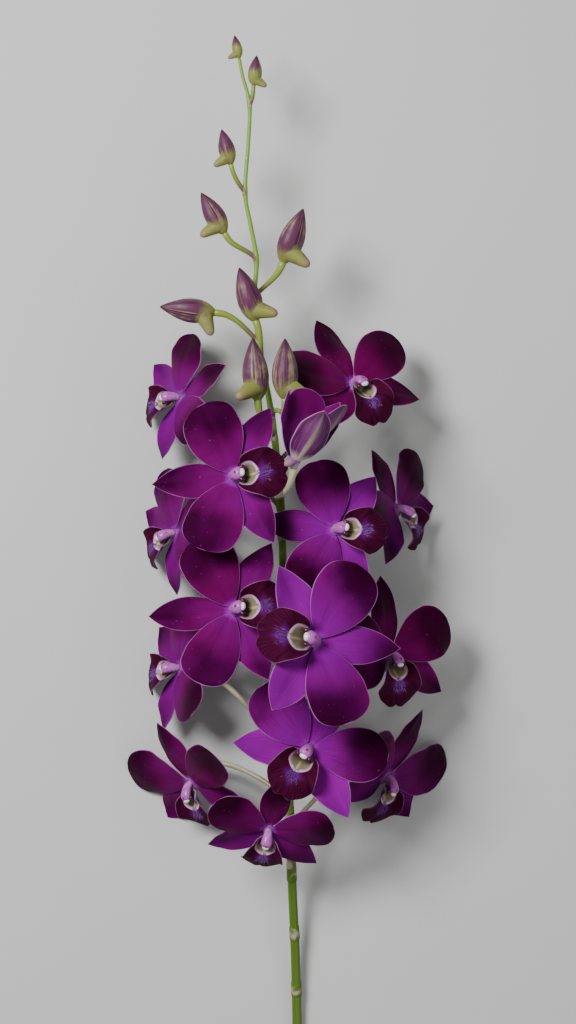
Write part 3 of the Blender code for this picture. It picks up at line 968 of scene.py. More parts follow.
BLOOMS = (
    Place((-8, 176, 48), (-0.05, -0.60, 0.80), (0.2, 0.8, 0.6), 0.85, 156, lit_violet=0.30),
    Place((50, 199, 28), (0.62, -0.40, 0.65), (0.5, 0.8, 0.2), 0.92, 176, True, lit_violet=0.25),
    Place((-46, 196, 26), (-0.55, -0.50, 0.67), (-0.3, 0.9, 0.1), 0.90, 188, True, lit_violet=0.2),
    Place((11, 216, 62), (0.05, 0.24, 0.96), (0.5, 0.87, 0.0), 1.0, 199, lit_violet=0.95),
    Place((-52, 252, 28), (-0.78, 0.22, 0.60), (0.3, 0.4, 0.9), 0.85, 212, True, lit_violet=0.35),
    Place((50, 260, 50), (0.55, 0.12, 0.82), (0.0, 1.0, 0.0), 0.95, 226, lit_violet=0.15),
    Place((14, 268, 82), (0.20, 0.22, 0.95), (1.0, -0.05, 0.0), 1.08, 240, lit_violet=0.85),
    Place((-24, 282, 63), (-0.15, 0.22, 0.95), (-1.0, 0.0, 0.0), 1.02, 254, lit_violet=0.22),
    Place((-54, 318, 28), (-0.80, 0.10, 0.58), (0.2, 0.6, 0.75), 0.85, 270, True, lit_violet=0.3),
    Place((55, 330, 28), (0.80, 0.10, 0.58), (-0.2, 0.8, 0.5), 0.85, 286, True, lit_violet=0.35),
    Place((24, 320, 62), (0.02, 0.24, 0.97), (-1.0, 0.12, 0.0), 0.92, 300, lit_violet=0.62),
    Place((-24, 345, 68), (-0.18, 0.22, 0.95), (-1.0, 0.0, 0.0), 1.0, 316, lit_violet=0.35),
    Place((-52, 384, 30), (-0.72, 0.30, 0.62), (0.3, 0.5, 0.8), 0.85, 330, True, lit_violet=0.4),
    Place((33, 390, 46), (0.35, 0.50, 0.79), (-0.3, 1.0, 0.0), 0.95, 352, lit_violet=0.1),
)
OPENING_BLOOM = Place((5, 354, 90), (0.34, 0.90, 0.24), (0.64, -0.1, -0.75), 0.92, 336,
                      lean=(-0.2, 0.05, 1.0), lit_violet=1.0)


@dataclass
class TepalForm:
    """Surfaces of a bloom's tepals, plain like the solids or with their fine shape."""

    frame: Matrix
    opening: Opening
    rng: random.Random | None
    root_radius: float = 2.5
    waves_along: float = 7.0
    waves_across: float = 2.4
    floor: float = 0.30
    softness: float = 0.7
    free_from: float = 8.0
    fold_depth: float = 0.55
    fold_width: float = 1.3
    fold_fade: float = 0.6
    frill: float = 0.40
    frill_waves: float = 17.0
    frill_slant: float = 3.0
    ripple_waves: float = 29.0
    ripple_share: float = 0.6
    swell: float = 1.3
    swell_along: float = 4.6
    swell_across: float = 2.6

    def surface(self, tepal: Tepal) -> Surface:
        """Return the middle surface of one tepal, point(t, s), in millimetres.

        Args:
            tepal: which one.

        Returns:
            A function of the share of the length and the place across, -1 to 1.
        """
        opening = self.opening
        pointed = tepal.outline is Outline.POINTED
        bend = opening.sepals if pointed else opening.petals
        width = tepal.width * (opening.sepal_spread if pointed else opening.petal_spread)
        cup = tepal.cup if opening.cup is None else opening.cup
        shaped = replace(tepal, width=width)
        angle = math.radians(tepal.angle)
        start, end = math.radians(bend[0]), math.radians(bend[1])
        outward = Vector((math.sin(angle), math.cos(angle), 0.0))
        sideways = Vector((math.cos(angle), -math.sin(angle), 0.0))
        forward = Vector((0.0, 0.0, 1.0))
        curl = cup / width
        fine = self.rng is not None
        if fine:
            phase = self.rng.uniform(0.0, 6.3)
            turn = self.rng.uniform(0.0, 6.3)
            tip_roll = self.rng.uniform(-0.9, 0.9)
            tip_lift = self.rng.uniform(-1.2, 0.6)
            sway = self.rng.uniform(-0.7, 0.7)

        def point(t: float, s: float) -> Vector:
            slope = start + (end - start) * t
            reach = tepal.length * (math.sin(slope) - math.sin(start)) / (end - start)
            rise = tepal.length * (math.cos(start) - math.cos(slope)) / (end - start)
            half = shaped.half_width(t)
            offset = s * half
            across = math.sin(curl * offset) / curl
            above = (1 - math.cos(curl * offset)) / curl
            fullness = 2 * half / width
            waves = math.sin(self.waves_along * t + self.waves_across * s + angle)
            above += tepal.wave * fullness * t * s * s * waves
            if fine:
                fold = math.exp(-(offset / self.fold_width) ** 2) * (1 - t) ** self.fold_fade
                above -= self.fold_depth * fold * smoothstep(t, 0.0, 0.12)
                frill = math.sin(self.frill_waves * t + self.frill_slant * s + phase)
                frill += self.ripple_share * math.sin(self.ripple_waves * t + phase * 2)
                above += self.frill * frill * abs(s) ** 3 * fullness * smoothstep(t, 0.1, 0.5)
                swell = math.sin(self.swell_along * t + turn)
                swell *= math.cos(self.swell_across * s + turn * 2)
                above += self.swell * swell * fullness * smoothstep(t, 0.15, 0.6)
                above += t ** 3 * (tip_lift + tip_roll * s * fullness)
                across += sway * t * t
            tilted = forward * math.cos(slope) - outward * math.sin(slope)
            place = outward * (self.root_radius + reach) + forward * (tepal.lift + rise)
            place = self.frame @ (place + sideways * across + tilted * above)
            if fine:
                gap = (place.z - self.floor) / self.softness
                if gap < self.free_from:
                    place.z = self.floor + self.softness * math.log1p(math.exp(gap))
            return place

        return point


def rim_distance(half: float, s: float, length: float, t: float) -> float:
    """Distance in millimetres from a place on a tepal to its edge."""
    return min((1 - abs(s)) * half, (1 - t) * length)


@dataclass
class Bloom:
    """An open or half open bloom: tepals with neck and spur, lip and column."""

    name: str
    place: Place
    opening: Opening
    finishes: Finishes
    seed: int

    thickness: float = 0.45
    sepal_grid: tuple[int, int] = (16, 10)
    petal_grid: tuple[int, int] = (18, 14)
    tip_crowding: float = 1.7
    # Painted light on the petals above calm is cut to calmed_share of the rest.
    calm: float = 0.42
    calmed_share: float = 0.5
    neck: tuple = ((0.0, 1.4, -6.2, 1.75), (0.0, 0.9, -4.6, 2.2), (0.0, 0.6, -3.2, 2.75),
                   (0.0, 0.2, -1.8, 3.1), (0.0, 0.0, -0.6, 3.1), (0.0, 0.0, 0.1, 2.6),
                   (0.0, 0.0, 0.5, 1.8))
    spur: tuple = ((0.0, -0.8, -1.4, 2.9), (0.0, -2.8, -2.8, 2.6), (0.0, -4.8, -4.3, 2.1),
                   (0.0, -6.6, -5.8, 1.6), (0.0, -8.0, -7.0, 1.0))
    chin: tuple = ((0.0, -0.8, -1.4, 2.9), (0.0, -2.4, -2.5, 2.7), (0.0, -3.8, -3.5, 2.3),
                   (0.0, -4.8, -4.3, 1.7), (0.0, -5.4, -4.8, 0.9))
    neck_sides: int = 16
    spur_sides: int = 14
    glow_reach: float = 0.42
    edge_glow: float = 0.18
    dark_tip: float = 0.46
    # Painted light on the tepals: its reach from the root, its amount at the root and all over, on
    # one side and on the side sepals.
    light_reach: float = 0.52
    root_light: float = 1.2
    even_light: float = 0.16
    side_light: float = 0.35
    side_sepal_light: float = 0.70
    side_sepals_from: float = 100.0

    def __post_init__(self) -> None:
        """Find the bloom's frame and start its random draws."""
        self.frame = self.place.frame()
        self.rng = random.Random(self.seed)

    def make(self) -> None:
        """Model the bloom's pieces and put them in place of its solids."""
        self.make_tepals()
        if self.opening is OPEN:
            Lip(self.name, self.frame, self.finishes, self.rng).make()
            Column(self.name, self.frame, self.finishes).make()

    def make_tepals(self) -> None:
        """Model the five tepals with the neck and the spur."""
        form = TepalForm(self.frame, self.opening, self.rng)
        fullness = self.rng.uniform(0.90, 1.0)
        leaves = []
        for tepal in TEPALS:
            grown = self.grow(tepal, fullness)
            leaves.append(self.make_leaf(grown, form.surface(grown)))
        body = join(self.name, leaves)
        thicken(body, self.thickness, even=True)
        neck = tube(framed(self.frame, self.neck), self.neck_sides, self.finishes.neck, bulge=0.1)
        below = self.spur if self.opening is OPEN else self.chin
        spur = tube(framed(self.frame, below), self.spur_sides, self.finishes.spur, bulge=0.9)
        node = self.name + "_tepals" if self.opening is OPEN else self.name
        body = join(node + "_grown", [body, neck, spur])
        seat(body, "tepal_purple", node)

    def grow(self, tepal: Tepal, fullness: float) -> Tepal:
        """Vary a tepal a little, because no two are the same.

        Args:
            tepal: its usual form.
            fullness: factor on the width of this bloom's petals.

        Returns:
            The tepal as it grew.
        """
        full = fullness if tepal.outline is Outline.ROUNDED else 1.0
        return replace(tepal, length=tepal.length * self.rng.uniform(0.94, 1.01),
                       width=tepal.width * self.rng.uniform(0.96, 1.03) * full,
                       widest=tepal.widest + self.rng.uniform(-0.04, 0.04),
                       angle=tepal.angle + self.rng.uniform(-3.0, 3.0),
                       root_power=0.85,
                       rounded_power=self.rng.uniform(2.3, 3.6),
                       pointed_power=self.rng.uniform(1.8, 2.3)
                       + (1.2 if self.opening is HALF_OPEN else 0.0))

    def make_leaf(self, tepal: Tepal, surface: Surface) -> bpy.types.Object:
        """Model one tepal as a shaped grid.

        Args:
            tepal: which one.
            surface: its middle surface.

        Returns:
            The grid, which stores place (across, mm along, mm from the edge) and tone.
        """
        rows, columns = self.sepal_grid if tepal.outline is Outline.POINTED else self.petal_grid
        leaf, spots = sheet(rows, columns)
        seed = self.rng.uniform(0.0, 40.0)
        freshness = self.rng.uniform(-0.08, 0.12)
        lit_side = self.rng.uniform(-0.35, 0.35)
        places, tones = [], []
        for vertex, (u, s) in zip(leaf.data.vertices, spots):
            t = 1 - (1 - u) ** self.tip_crowding
            vertex.co = to_frame(surface(t, s))
            half = tepal.half_width(t)
            places.append((s, t * tepal.length, rim_distance(half, s, tepal.length, t)))
            glow, painted_light = self.tone(tepal, t, s, lit_side)
            tones.append((glow + freshness, painted_light + freshness, seed))
        store(leaf, "place", places)
        store(leaf, "tone", tones)
        for material in self.finishes.tepal if self.opening is OPEN else self.finishes.lit_copy:
            leaf.data.materials.append(material)
        return leaf

    def tone(self, tepal: Tepal, t: float, s: float, lit_side: float) -> tuple[float, float]:
        """Work out how a place on a tepal is coloured.

        Args:
            tepal: which one.
            t: share of its length.
            s: place across, -1 to 1.
            lit_side: how much lighter one half of this tepal is.

        Returns:
            How far the place is from the darkest purple, and how much painted light, as lit violet
            and glare, it gets.
        """
        glow = tepal.glow + math.exp(-(t / self.glow_reach) ** 2)
        glow += self.edge_glow * abs(s) ** 3 + lit_side * s
        glow -= self.dark_tip * smoothstep(t, 0.28, 0.98) * (1 - 0.5 * s * s)
        lit_violet = self.place.lit_violet
        if tepal.outline is Outline.ROUNDED and lit_violet > self.calm:
            lit_violet = self.calm + (lit_violet - self.calm) * self.calmed_share
        # Painted light: strongest at the root, stronger on one side of the tepal and on the side
        # sepals.
        light = self.even_light + self.root_light * math.exp(-(t / self.light_reach) ** 2)
        light += self.side_light * lit_side * s
        if abs(tepal.angle) > self.side_sepals_from:
            light += self.side_sepal_light
        return glow, lit_violet * light


def framed(frame: Matrix, rings: Sequence[Sequence[float]]) -> list[tuple[float, ...]]:
    """Move rings of x, y, z and radius by a bloom's frame."""
    scale = frame.to_scale().x
    return [(*(frame @ Vector(ring[:3])), ring[3] * scale) for ring in rings]


def seat(piece: bpy.types.Object, slot: str, *nodes: str) -> None:
    """Let a piece ride on the part and stand for solids."""
    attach(piece, "root")
    if nodes:
        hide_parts(*nodes)
    LOG.info("%s: %d faces", piece.name, len(piece.data.polygons))


@dataclass
class Lip:
    """The lip: a claw, two raised side lobes, a broad front lobe and violet hairs."""

    name: str
    frame: Matrix
    finishes: Finishes
    rng: random.Random

    line: tuple = ((-2.9, 1.15, 2.6, 0.22), (-5.4, 2.2, 8.0, 0.16), (-8.0, 3.5, 10.8, 0.135),
                   (-11.2, 5.4, 11.6, 0.08), (-14.8, 6.6, 12.2, 0.04), (-19.0, 6.0, 12.2, -0.02),
                   (-23.4, 4.0, 9.6, -0.04), (-26.4, 1.8, 4.0, -0.05))
    line_steps: int = 8
    thickness: float = 0.5
    ripple: float = 0.35
    ripple_waves: float = 15.0
    ripple_slant: float = 4.0
    hollow_depth: float = 1.0
    hollow_at: float = 0.30
    hollow_reach: float = 0.13
    hollow_half_width: float = 4.6
    groove_depth: float = 0.5
    groove_half_width: float = 1.6
    notch_depth: float = 1.1
    notch_half_width: float = 1.5
    grid: tuple[int, int] = (26, 22)
    least_curl: float = 0.001
    hairs: int = 130
    hair_length: float = 2.0
    hair_width: float = 0.10
    hair_sides: int = 5
    hair_taper: float = 0.8
    hairs_between: tuple[float, float] = (0.42, 0.68)
    hairs_aside: float = 0.9
    hairs_fan_from: float = 0.22
    hairs_crowding: float = 0.35
    hair_rise: float = 0.55
    hair_outward: float = 0.8
    hair_disorder: float = 0.22

    def __post_init__(self) -> None:
        """Work out the smooth middle line: y, z, half width, curl and mm along."""
        self.path, along = [], 0.0
        for here in curve_through(self.line, self.line_steps):
            if self.path:
                before = self.path[-1]
                along += math.hypot(here[0] - before[0], here[1] - before[1])
            self.path.append((*here, along))

    def at(self, t: float) -> tuple[tuple[float, ...], Vector]:
        """Values of the middle line at a share of its steps, and its direction there."""
        last = len(self.path) - 1
        i = min(int(t * last), last - 1)
        here, there = self.path[i], self.path[i + 1]
        part = t * last - i
        values = tuple(a + (b - a) * part for a, b in zip(here, there))
        return values, Vector((0.0, there[0] - here[0], there[1] - here[1])).normalized()

    def surface(self) -> Surface:
        """Return the lip's middle surface, point(t, s), in millimetres."""
        phase = self.rng.uniform(0.0, 6.3)

        def point(t: float, s: float) -> Vector:
            (y, z, half, curl, _), ahead = self.at(t)
            above = Vector((0.0, ahead.z, -ahead.y))
            if abs(curl) < self.least_curl:
                curl = self.least_curl
            offset = s * half
            across = math.sin(curl * offset) / curl
            rise = (1 - math.cos(curl * offset)) / curl
            front = smoothstep(t, 0.35, 0.8)
            ripple = math.sin(self.ripple_waves * t + self.ripple_slant * s + phase)
            rise += self.ripple * front * s * s * ripple
            hollow = math.exp(-((t - self.hollow_at) / self.hollow_reach) ** 2)
            rise -= self.hollow_depth * hollow * math.exp(-(offset / self.hollow_half_width) ** 2)
            rise -= self.groove_depth * front * math.exp(-(offset / self.groove_half_width) ** 2)
            notch = self.notch_depth * smoothstep(t, 0.86, 1.0)
            notch *= math.exp(-(offset / self.notch_half_width) ** 2)
            return self.frame @ (Vector((across, y, z)) + above * rise - ahead * notch)

        return point

    def make(self) -> None:
        """Model the blade and its hairs."""
        surface = self.surface()
        full = self.path[-1][-1]
        blade, spots = sheet(*self.grid)
        places = []
        for vertex, (t, s) in zip(blade.data.vertices, spots):
            vertex.co = to_frame(surface(t, -s))
            (_, _, half, _, along), _ = self.at(t)
            places.append((s * half, along, min((1 - abs(s)) * half, full - along)))
        store(blade, "place", places)
        for material in self.finishes.lip:
            blade.data.materials.append(material)
        thicken(blade, self.thickness)
        body = join(self.name + "_lip_velvet", [blade, *self.make_hairs(surface)])
        seat(body, "lip_maroon", self.name + "_lip")

    def make_hairs(self, surface: Surface) -> list[bpy.types.Object]:
        """Model the violet hairs on the middle of the lip."""
        hairs = []
        for _ in range(self.hairs):
            t = self.rng.uniform(*self.hairs_between)
            s = self.rng.uniform(-self.hairs_aside, self.hairs_aside) * (t - self.hairs_fan_from)
            s *= abs(s) ** self.hairs_crowding
            foot = surface(t, s)
            outward = (surface(t + 0.08, s * 1.5) - foot).normalized()
            normal = (surface(t, s + 0.02) - foot).cross(foot - surface(t + 0.01, s))
            normal.normalize()
            lean = normal * self.hair_rise + outward * self.hair_outward
            lean += Vector([self.rng.uniform(-self.hair_disorder, self.hair_disorder)
                            for _ in range(3)])
            reach = self.hair_length * self.rng.uniform(0.6, 1.2)
            rings = [(*(foot + lean * reach * part), self.hair_width * (1 - part * self.hair_taper))
                     for part in (0.0, 0.5, 1.0)]
            hairs.append(tube(rings, self.hair_sides, self.finishes.fuzz))
        return hairs


@dataclass
class Column:
    """The column over the lip's throat, with its glossy cap."""

    name: str
    frame: Matrix
    finishes: Finishes

    body: tuple = ((0.0, 0.2, 0.2, 1.9), (0.0, 0.2, 1.6, 2.0), (0.0, -0.2, 3.2, 2.35),
                   (0.0, -1.1, 4.8, 2.8), (0.0, -2.3, 6.1, 3.2), (0.0, -3.5, 7.0, 3.4),
                   (0.0, -4.5, 7.6, 3.1), (0.0, -5.2, 8.0, 2.3))
    cap: tuple = ((-1.5, -5.3, 8.25, 0.85), (-0.8, -5.5, 8.4, 1.15), (0.0, -5.55, 8.45, 1.25),
                  (0.8, -5.5, 8.4, 1.15), (1.5, -5.3, 8.25, 0.85))
    wing: tuple = ((2.5, -4.0, 6.9, 0.8), (3.0, -4.9, 7.0, 1.15), (3.05, -5.8, 6.9, 1.0),
                   (2.7, -6.5, 6.7, 0.5))
    sides: int = 20
    cap_sides: int = 14
    wing_sides: int = 12
    flat_top: float = 0.16
    flat_under: float = 0.42

    def hood(self, turn: float, share: float) -> float:
        """Factor on the radius that flattens the hood, most of all underneath."""
        level = math.cos(turn)
        flat = self.flat_top * max(0.0, level) + self.flat_under * max(0.0, -level)
        return 1 - flat * smoothstep(share, 0.15, 0.7)

    def make(self) -> None:
        """Model the column, its cap and its two dark wing ends."""
        up = (self.frame.to_3x3() @ Vector((0.0, 1.0, 0.0))).normalized()
        parts = [tube(framed(self.frame, self.body), self.sides, self.finishes.column,
                      start=up, shape=self.hood),
                 tube(framed(self.frame, self.cap), self.cap_sides, self.finishes.cap, bulge=0.7)]
        for side in (-1, 1):
            rings = [(x * side, y, z, radius) for x, y, z, radius in self.wing]
            parts.append(tube(framed(self.frame, rings), self.wing_sides, self.finishes.wing))
        seat(join(self.name + "_column_wax", parts), "column_white", self.name + "_column")


# Buds and stalks


@dataclass(frozen=True)
class BudPlace:
    """Where a bud sits: base, direction of its tip and of its spur, size and node."""

    base: tuple[float, float, float]
    along: tuple[float, float, float]
    length: float
    radius: float
    node: float | None
    spur: tuple[float, float, float]
    ripe: float = 1.0


BUDS = (
    BudPlace((-13, 382, 58), (-0.08, 1.0, 0.1), 29, 6.3, 364, (-0.6, -0.4, 0.65)),
    BudPlace((0, 382, 70), (0.0, 1.0, 0.1), 28, 6.2, 374, (0.8, -0.4, 0.35)),
    BudPlace((-14, 420, 52), (-0.3, 0.95, 0.1), 26, 6.0, 396, (0.9, -0.2, 0.3), 0.9),
    BudPlace((-34, 424, 46), (-1.0, 0.1, 0.1), 26, 5.9, 410, (0.35, -0.9, 0.3), 0.9),
    BudPlace((-1, 448, 50), (0.35, 0.9, 0.15), 27, 6.1, 432, (0.8, -0.6, 0.3), 0.95),
    BudPlace((-29, 462, 48), (-0.5, 0.85, 0.1), 22, 5.0, 450, (-0.9, -0.6, 0.3), 0.8),
    BudPlace((-26, 495, 47), (-0.25, 0.95, 0.1), 17, 4.0, 482, (-0.9, -0.6, 0.2), 0.65),
    BudPlace((-15, 533, 46), (0.1, 1.0, 0.1), 14, 3.4, 524, (0.9, -0.6, 0.2), 0.45),
    BudPlace((-22.06, 546.3, 44), (-0.2, 1.0, 0.0), 11, 2.5, None, (-0.9, -0.5, 0.2), 0.35),
)


@dataclass
class Bud:
    """A closed bud of three sepals with its blunt spur."""

    name: str
    place: BudPlace
    finishes: Finishes
    seed: int

    rings: int = 26
    sides: int = 36
    seam_width: float = 0.10
    seam_depth: float = 0.045
    ridge: float = 0.035
    bluntness: float = 0.045
    fullest: float = 0.78
    plumpness: float = 0.85
    spur_at: float = 0.22
    spur_reach: float = 0.50
    spur_profile: tuple = ((-0.10, 0.84), (0.12, 0.80), (0.35, 0.67), (0.60, 0.53),
                           (0.80, 0.42), (0.92, 0.32), (0.98, 0.20), (1.01, 0.08))
    spur_steps: int = 3
    spur_sides: int = 20
    spur_ripe: float = 1.3

    def __post_init__(self) -> None:
        """Start the bud's random draws with the turn of its seams."""
        self.rng = random.Random(self.seed)
        self.twist = self.rng.uniform(0.0, 2.0)

    def radius(self, share: float) -> float:
        """Radius at a share of the length, blunt at the base and pointed at the tip."""
        reach = (self.bluntness + 0.94 * share) ** self.fullest
        return self.place.radius * math.sin(math.pi * reach) ** self.plumpness

    def seam(self, turn: float) -> float:
        """How near a turn is to one of the three seams, from 0 to 1."""
        third = 2 * math.pi / 3
        off = (turn - self.twist + third / 2) % third - third / 2
        return math.exp(-(off / self.seam_width) ** 2)

    def section(self, turn: float, share: float) -> float:
        """Factor on the radius for the seams and the keels of the three sepals."""
        keel = self.ridge * math.cos(3 * (turn - self.twist) + math.pi)
        strength = math.sin(math.pi * share)
        return 1 + strength * (keel - self.seam_depth * self.seam(turn))

    def off_spur(self, point: Vector, start: Vector, away: Vector) -> float:
        """Distance in bud radii from a mesh point to the inner half of the spur's middle line."""
        place = point / MM - FRAME_SHIFT - start
        part = max(0.0, min(0.5, place.dot(away) / away.length_squared))
        return (place - away * part).length / self.place.radius

    def make(self) -> None:
        """Model the bud and its spur as one piece.

        It stores place (turn, share of the length, spur) and tone (ripe, seam, seed).
        """
        place = self.place
        base, along = Vector(place.base), Vector(place.along).normalized()
        steps = [i / (self.rings - 1) for i in range(self.rings)]
        rings = [(*(base + along * place.length * share), self.radius(share)) for share in steps]
        body = tube(rings, self.sides, self.finishes.bud, shape=self.section)
        away = Vector(place.spur).normalized() * place.length * self.spur_reach
        start = base + along * place.length * self.spur_at
        profile = [(*(start + away * reach), place.radius * share)
                   for reach, share in curve_through(self.spur_profile, self.spur_steps)]
        spur = tube(profile, self.spur_sides, self.finishes.bud, bulge=0.8)
        on_body = len(body.data.vertices)
        shift = self.rng.uniform(0.0, 30.0)
        piece = join(self.name + "_grown", [body, spur])
        tones, places = [], []
        for number, (turn, _, share) in enumerate(recall(piece, "place")):
            if number < on_body:
                off = self.off_spur(piece.data.vertices[number].co, start, away)
                places.append((turn, share, 0.5 * (1 - smoothstep(off, 0.62, 1.2))))
                dark = self.seam(turn * math.pi) * smoothstep(share, 0.12, 0.4)
                tones.append((place.ripe, dark, shift))
            else:
                places.append((turn, 0.5, 0.42 + 0.58 * share))
                tones.append((self.spur_ripe, 0.0, shift))
        store(piece, "place", places)
        store(piece, "tone", tones)
        seat(piece, "bud_mauve", self.name)


@dataclass
class Stem:
    """The stalk with its sheaths, its dry scales and the stalks of all flowers."""

    finishes: Finishes

    stalk: tuple = (
        (6.5, 0.0, 2.6, 2.5), (6.2, 55.0, 2.7, 2.4), (5.2, 105.0, 7.0, 2.3),
        (3.5, 145.0, 16.0, 2.2), (2.0, 185.0, 28.0, 2.1), (0.5, 230.0, 35.0, 2.0),
        (-0.5, 280.0, 37.0, 1.9), (-2.0, 330.0, 38.0, 1.7), (-6.0, 372.0, 39.0, 1.5),
        (-12.4, 408.0, 40.0, 1.3), (-14.5, 432.0, 41.0, 1.2), (-13.8, 450.0, 42.0, 1.1),
        (-16.5, 466.0, 42.5, 1.05), (-19.2, 482.0, 43.0, 1.0), (-17.6, 506.0, 43.5, 0.95),
        (-17.1, 524.0, 44.0, 0.9), (-20.5, 538.0, 44.0, 0.85), (-22.0, 546.0, 44.0, 0.8))
    sheaths_at: tuple = (62.0, 92.0, 120.0, 150.0, 180.0)
    sheath_rings: tuple = ((-2.4, -0.15), (-1.9, 0.12), (-1.0, 0.32), (0.0, 0.38), (1.6, 0.30),
                           (3.4, 0.26), (5.0, 0.22), (5.3, -0.15))
    sheath_slant: float = 1.6
    stalk_sides: int = 18
    stalk_steps: int = 8
    node_swell: float = 0.35
    node_reach: float = 3.0
    most_swell: float = 0.4
    cut_bevel: float = 0.25
    cut_share: float = 0.9
    pedicel_radius: float = 1.15
    pedicel_end_radius: float = 1.7
    pedicel_sides: int = 12
    pedicel_steps: int = 16
    bud_stalk_share: float = 0.30
    into_bloom: float = 0.5
    into_bud: float = 0.6
    pull_out: float = 1.1
    pull_in: float = 0.9
    straight_end: float = 3.0
    scale_length: float = 5.2
    scale_width: float = 3.6
    scale_thickness: float = 0.3
    scale_below: float = 1.6
    scale_point: float = 1.6
    scale_tip: float = 0.12
    scale_off: float = 0.15
    scale_flare: float = 1.35
    scale_grid: tuple[int, int] = (8, 6)

    def __post_init__(self) -> None:
        """Work out the smooth line of the stalk."""
        self.line = curve_through(self.stalk, self.stalk_steps)

    def at(self, y: float) -> tuple[float, ...]:
        """Point and radius of the stalk at the distance y from the cut end."""
        for a, b in zip(self.line, self.line[1:]):
            if a[1] <= y <= b[1]:
                part = (y - a[1]) / (b[1] - a[1])
                return tuple(p + (q - p) * part for p, q in zip(a, b))
        return self.line[-1]

    def make(self) -> None:
        """Model the stalk and everything that grows from it."""
        seat(self.make_stalk(), "stalk_green", "stem")
        seat(join("stalk_sheaths", [self.make_sheath(y) for y in self.sheaths_at]), "stalk_green")
        stalks, scales = [], []
        for place in (*BLOOMS, OPENING_BLOOM):
            frame = place.frame()
            back, ahead = (frame @ Vector(point) for point in NECK_AXIS)
            arrive = (ahead - back).normalized()
            start, lean = self.leave(place.node, back, place.lean)
            end = back + arrive * self.into_bloom
            stalks.append(self.make_pedicel(start, lean, end, arrive,
                                            self.pedicel_end_radius, self.finishes.bloom_stalk))
            scales.append(self.make_scale(place.node, back))
        seat(join("bloom_stalks", stalks), "stalk_green")
        stalks = []
        for place in BUDS[:-1]:
            along = Vector(place.along).normalized()
            end = Vector(place.base) + along * self.into_bud
            start, lean = self.leave(place.node, end, None)
            stalks.append(self.make_pedicel(start, lean, end, along,
                                            place.radius * self.bud_stalk_share,
                                            self.finishes.bud_stalk))
            scales.append(self.make_scale(place.node, end))
        seat(join("bud_stalks", stalks), "stalk_green")
        seat(join("node_scales", scales), "stalk_green")

    def make_stalk(self) -> bpy.types.Object:
        """Model the stalk with swollen nodes and a flat cut end."""
        nodes = [place.node for place in (*BLOOMS, OPENING_BLOOM, *BUDS[:-1])]
        rings = []
        for x, y, z, radius in self.line:
            swell = sum(self.node_swell * math.exp(-((y - node) / self.node_reach) ** 2)
                        for node in nodes)
            rings.append((x, y, z, radius + min(swell, self.most_swell)))
        x, y, z, radius = rings[0]
        rings[0:1] = [(x, y, z, radius * self.cut_share), (x, y + self.cut_bevel, z, radius)]
        piece = tube(rings, self.stalk_sides, self.finishes.stalk, bulge=0.0)
        piece.name = "stalk_grown"
        piece.data.materials.append(self.finishes.cut)
        cut = to_frame(Vector((x, y + self.cut_bevel / 2, z))).y
        for face in piece.data.polygons:
            if all(piece.data.vertices[i].co.y < cut for i in face.vertices):
                face.material_index = 1
                face.use_smooth = False
        return piece

    def make_sheath(self, y: float) -> bpy.types.Object:
        """Model the papery sheath round a lower node."""
        rings = []
        for offset, proud in self.sheath_rings:
            x, at, z, radius = self.at(y + offset)
            rings.append((x, at, z, radius + proud))
        sheath = tube(rings, self.stalk_sides, self.finishes.dry, bulge=0.0)
        places = []
        for vertex, (turn, along, share) in zip(sheath.data.vertices, recall(sheath, "place")):
            vertex.co.y += self.sheath_slant * MM * share * math.cos(turn * math.pi + y)
            patch = 0.5 * math.cos(turn * math.pi + y * 2.0) + 0.5
            places.append((turn, along, 1.9 * abs(share - 0.45) + 0.55 * (1 - patch)))
        store(sheath, "place", places)
        return sheath

    @staticmethod
    def side(start: Vector, end: Vector) -> Vector:
        """Direction from the stalk to a flower, square to the stem's length."""
        side = end - start
        side.y = 0.0
        return side.normalized()

    def leave(self, node: float, end: Vector,
              lean: tuple[float, float, float] | None) -> tuple[Vector, Vector]:
        """Where and in which direction a flower's stalk leaves the main stalk."""
        start = Vector(self.at(node)[:3])
        return start, Vector(lean or self.side(start, end) + ALONG).normalized()

    def make_pedicel(self, start: Vector, lean: Vector, end: Vector, arrive: Vector,
                     end_radius: float, material: bpy.types.Material) -> bpy.types.Object:
        """Model the stalk of one flower.

        Args:
            start: point inside the main stalk.
            lean: direction there.
            end: point inside the flower.
            arrive: direction there.
            end_radius: radius at the flower.
            material: its skin.

        Returns:
            The stalk of the flower.
        """
        bent = end - arrive * self.straight_end
        reach = (bent - start).length
        out, back = lean * reach * self.pull_out, arrive * reach * self.pull_in
        rings = []
        for i in range(self.pedicel_steps + 1):
            t = i / self.pedicel_steps
            place = (start * (2 * t ** 3 - 3 * t * t + 1) + out * (t ** 3 - 2 * t * t + t)
                     + bent * (3 * t * t - 2 * t ** 3) + back * (t ** 3 - t * t))
            radius = self.pedicel_radius + (end_radius - self.pedicel_radius) * t * t
            rings.append((*place, radius))
        rings.append((*end, end_radius))
        return tube(rings, self.pedicel_sides, material)

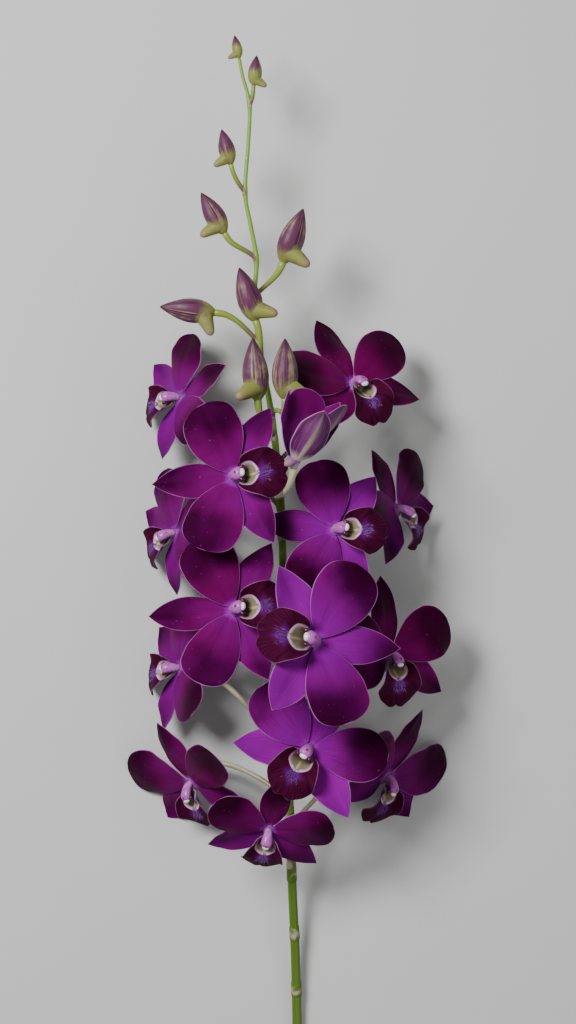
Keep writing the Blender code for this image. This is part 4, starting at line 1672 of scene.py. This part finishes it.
    def make_scale(self, node: float, end: Vector) -> bpy.types.Object:
        """Model the small dry scale under a flower's stalk."""
        *start, radius = self.at(node)
        start = Vector(start)
        side = self.side(start, end)
        across = ALONG.cross(side)
        scale, spots = sheet(*self.scale_grid)
        places = []
        for vertex, (t, s) in zip(scale.data.vertices, spots):
            half = self.scale_width / 2 * (1 - t ** self.scale_point) + self.scale_tip
            turn = s * half / (radius + self.most_swell)
            out = radius + self.scale_off + self.scale_flare * t ** 1.5
            place = start + ALONG * (t * self.scale_length - self.scale_below)
            place += (side * math.cos(turn) + across * math.sin(turn)) * out
            vertex.co = to_frame(place)
            places.append((s, t * self.scale_length, 0.0))
        store(scale, "place", places)
        scale.data.materials.append(self.finishes.dry)
        thicken(scale, self.scale_thickness, rounded=False)
        return scale


# Studio


@dataclass
class Studio:
    """Pale surface, soft lights and the camera above it, in metres but for the sensor."""

    shown_height: float = 0.486
    tip_margin: float = 0.0143
    camera_height: float = 1.5
    focus_height: float = 0.06
    sensor: float = 36.0
    surface_size: float = 6.0
    world_strength: float = 0.26
    lights: tuple = (("key", (-0.60, 0.50, 1.10), 0.45, 25.0), ("fill", (0.8, -0.4, 1.1), 1.1, 5.0))

    def make(self) -> None:
        """Set up the surface, the lights, the world and the camera."""
        self.make_surface()
        self.make_lights()
        self.make_camera()

    def make_surface(self) -> None:
        """Add the pale surface."""
        deselect()
        bpy.ops.mesh.primitive_plane_add(size=self.surface_size, location=(0.0, 0.0, 0.0))
        surface = bpy.context.object
        surface.name = "surface"
        surface.data.materials.append(Paper().make())
        surface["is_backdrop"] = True

    def make_lights(self) -> None:
        """Add the soft lights and the even surrounding light."""
        for light in self.lights:
            self.add_light(*light)
        world = bpy.data.worlds.new("studio")
        world.use_nodes = True
        background = world.node_tree.nodes["Background"]
        background.inputs["Color"].default_value = (1.0, 1.0, 1.0, 1.0)
        background.inputs["Strength"].default_value = self.world_strength
        bpy.context.scene.world = world

    def add_light(self, name: str, place: tuple[float, float, float], size: float,
                  power: float) -> None:
        """Add a square light that points at the stem."""
        light = bpy.data.lights.new(name, "AREA")
        light.size = size
        light.energy = power
        lamp = bpy.data.objects.new(name, light)
        bpy.context.scene.collection.objects.link(lamp)
        lamp.location = place
        lamp.rotation_euler = (-Vector(place)).to_track_quat("-Z", "Y").to_euler()

    def make_camera(self) -> None:
        """Add the camera, which looks straight down with the tip of the stem at the top."""
        _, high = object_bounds()
        centre_y = high.y + self.tip_margin - self.shown_height / 2
        camera = bpy.data.cameras.new("camera")
        camera.sensor_fit = "VERTICAL"
        camera.sensor_height = self.sensor
        distance = self.camera_height - self.focus_height
        camera.lens = self.sensor * distance / self.shown_height
        eye = bpy.data.objects.new("camera", camera)
        bpy.context.scene.collection.objects.link(eye)
        eye.location = (0.0, centre_y, self.camera_height)
        bpy.context.scene.camera = eye


def main() -> None:
    """Build every piece of the stem and the studio."""
    logging.basicConfig(level=logging.INFO, format="%(name)s: %(message)s")
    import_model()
    Studio().make()
    finishes = Finishes()
    for number, place in enumerate(BLOOMS, start=1):
        Bloom(f"bloom_{number:02d}", place, OPEN, finishes, number).make()
    Bloom("opening_bloom", OPENING_BLOOM, HALF_OPEN, finishes, OPENING_SEED).make()
    for number, place in enumerate(BUDS, start=1):
        Bud(f"bud_{number:02d}", place, finishes, BUD_SEED + number).make()
    Stem(finishes).make()


if __name__ == "__main__":
    main()
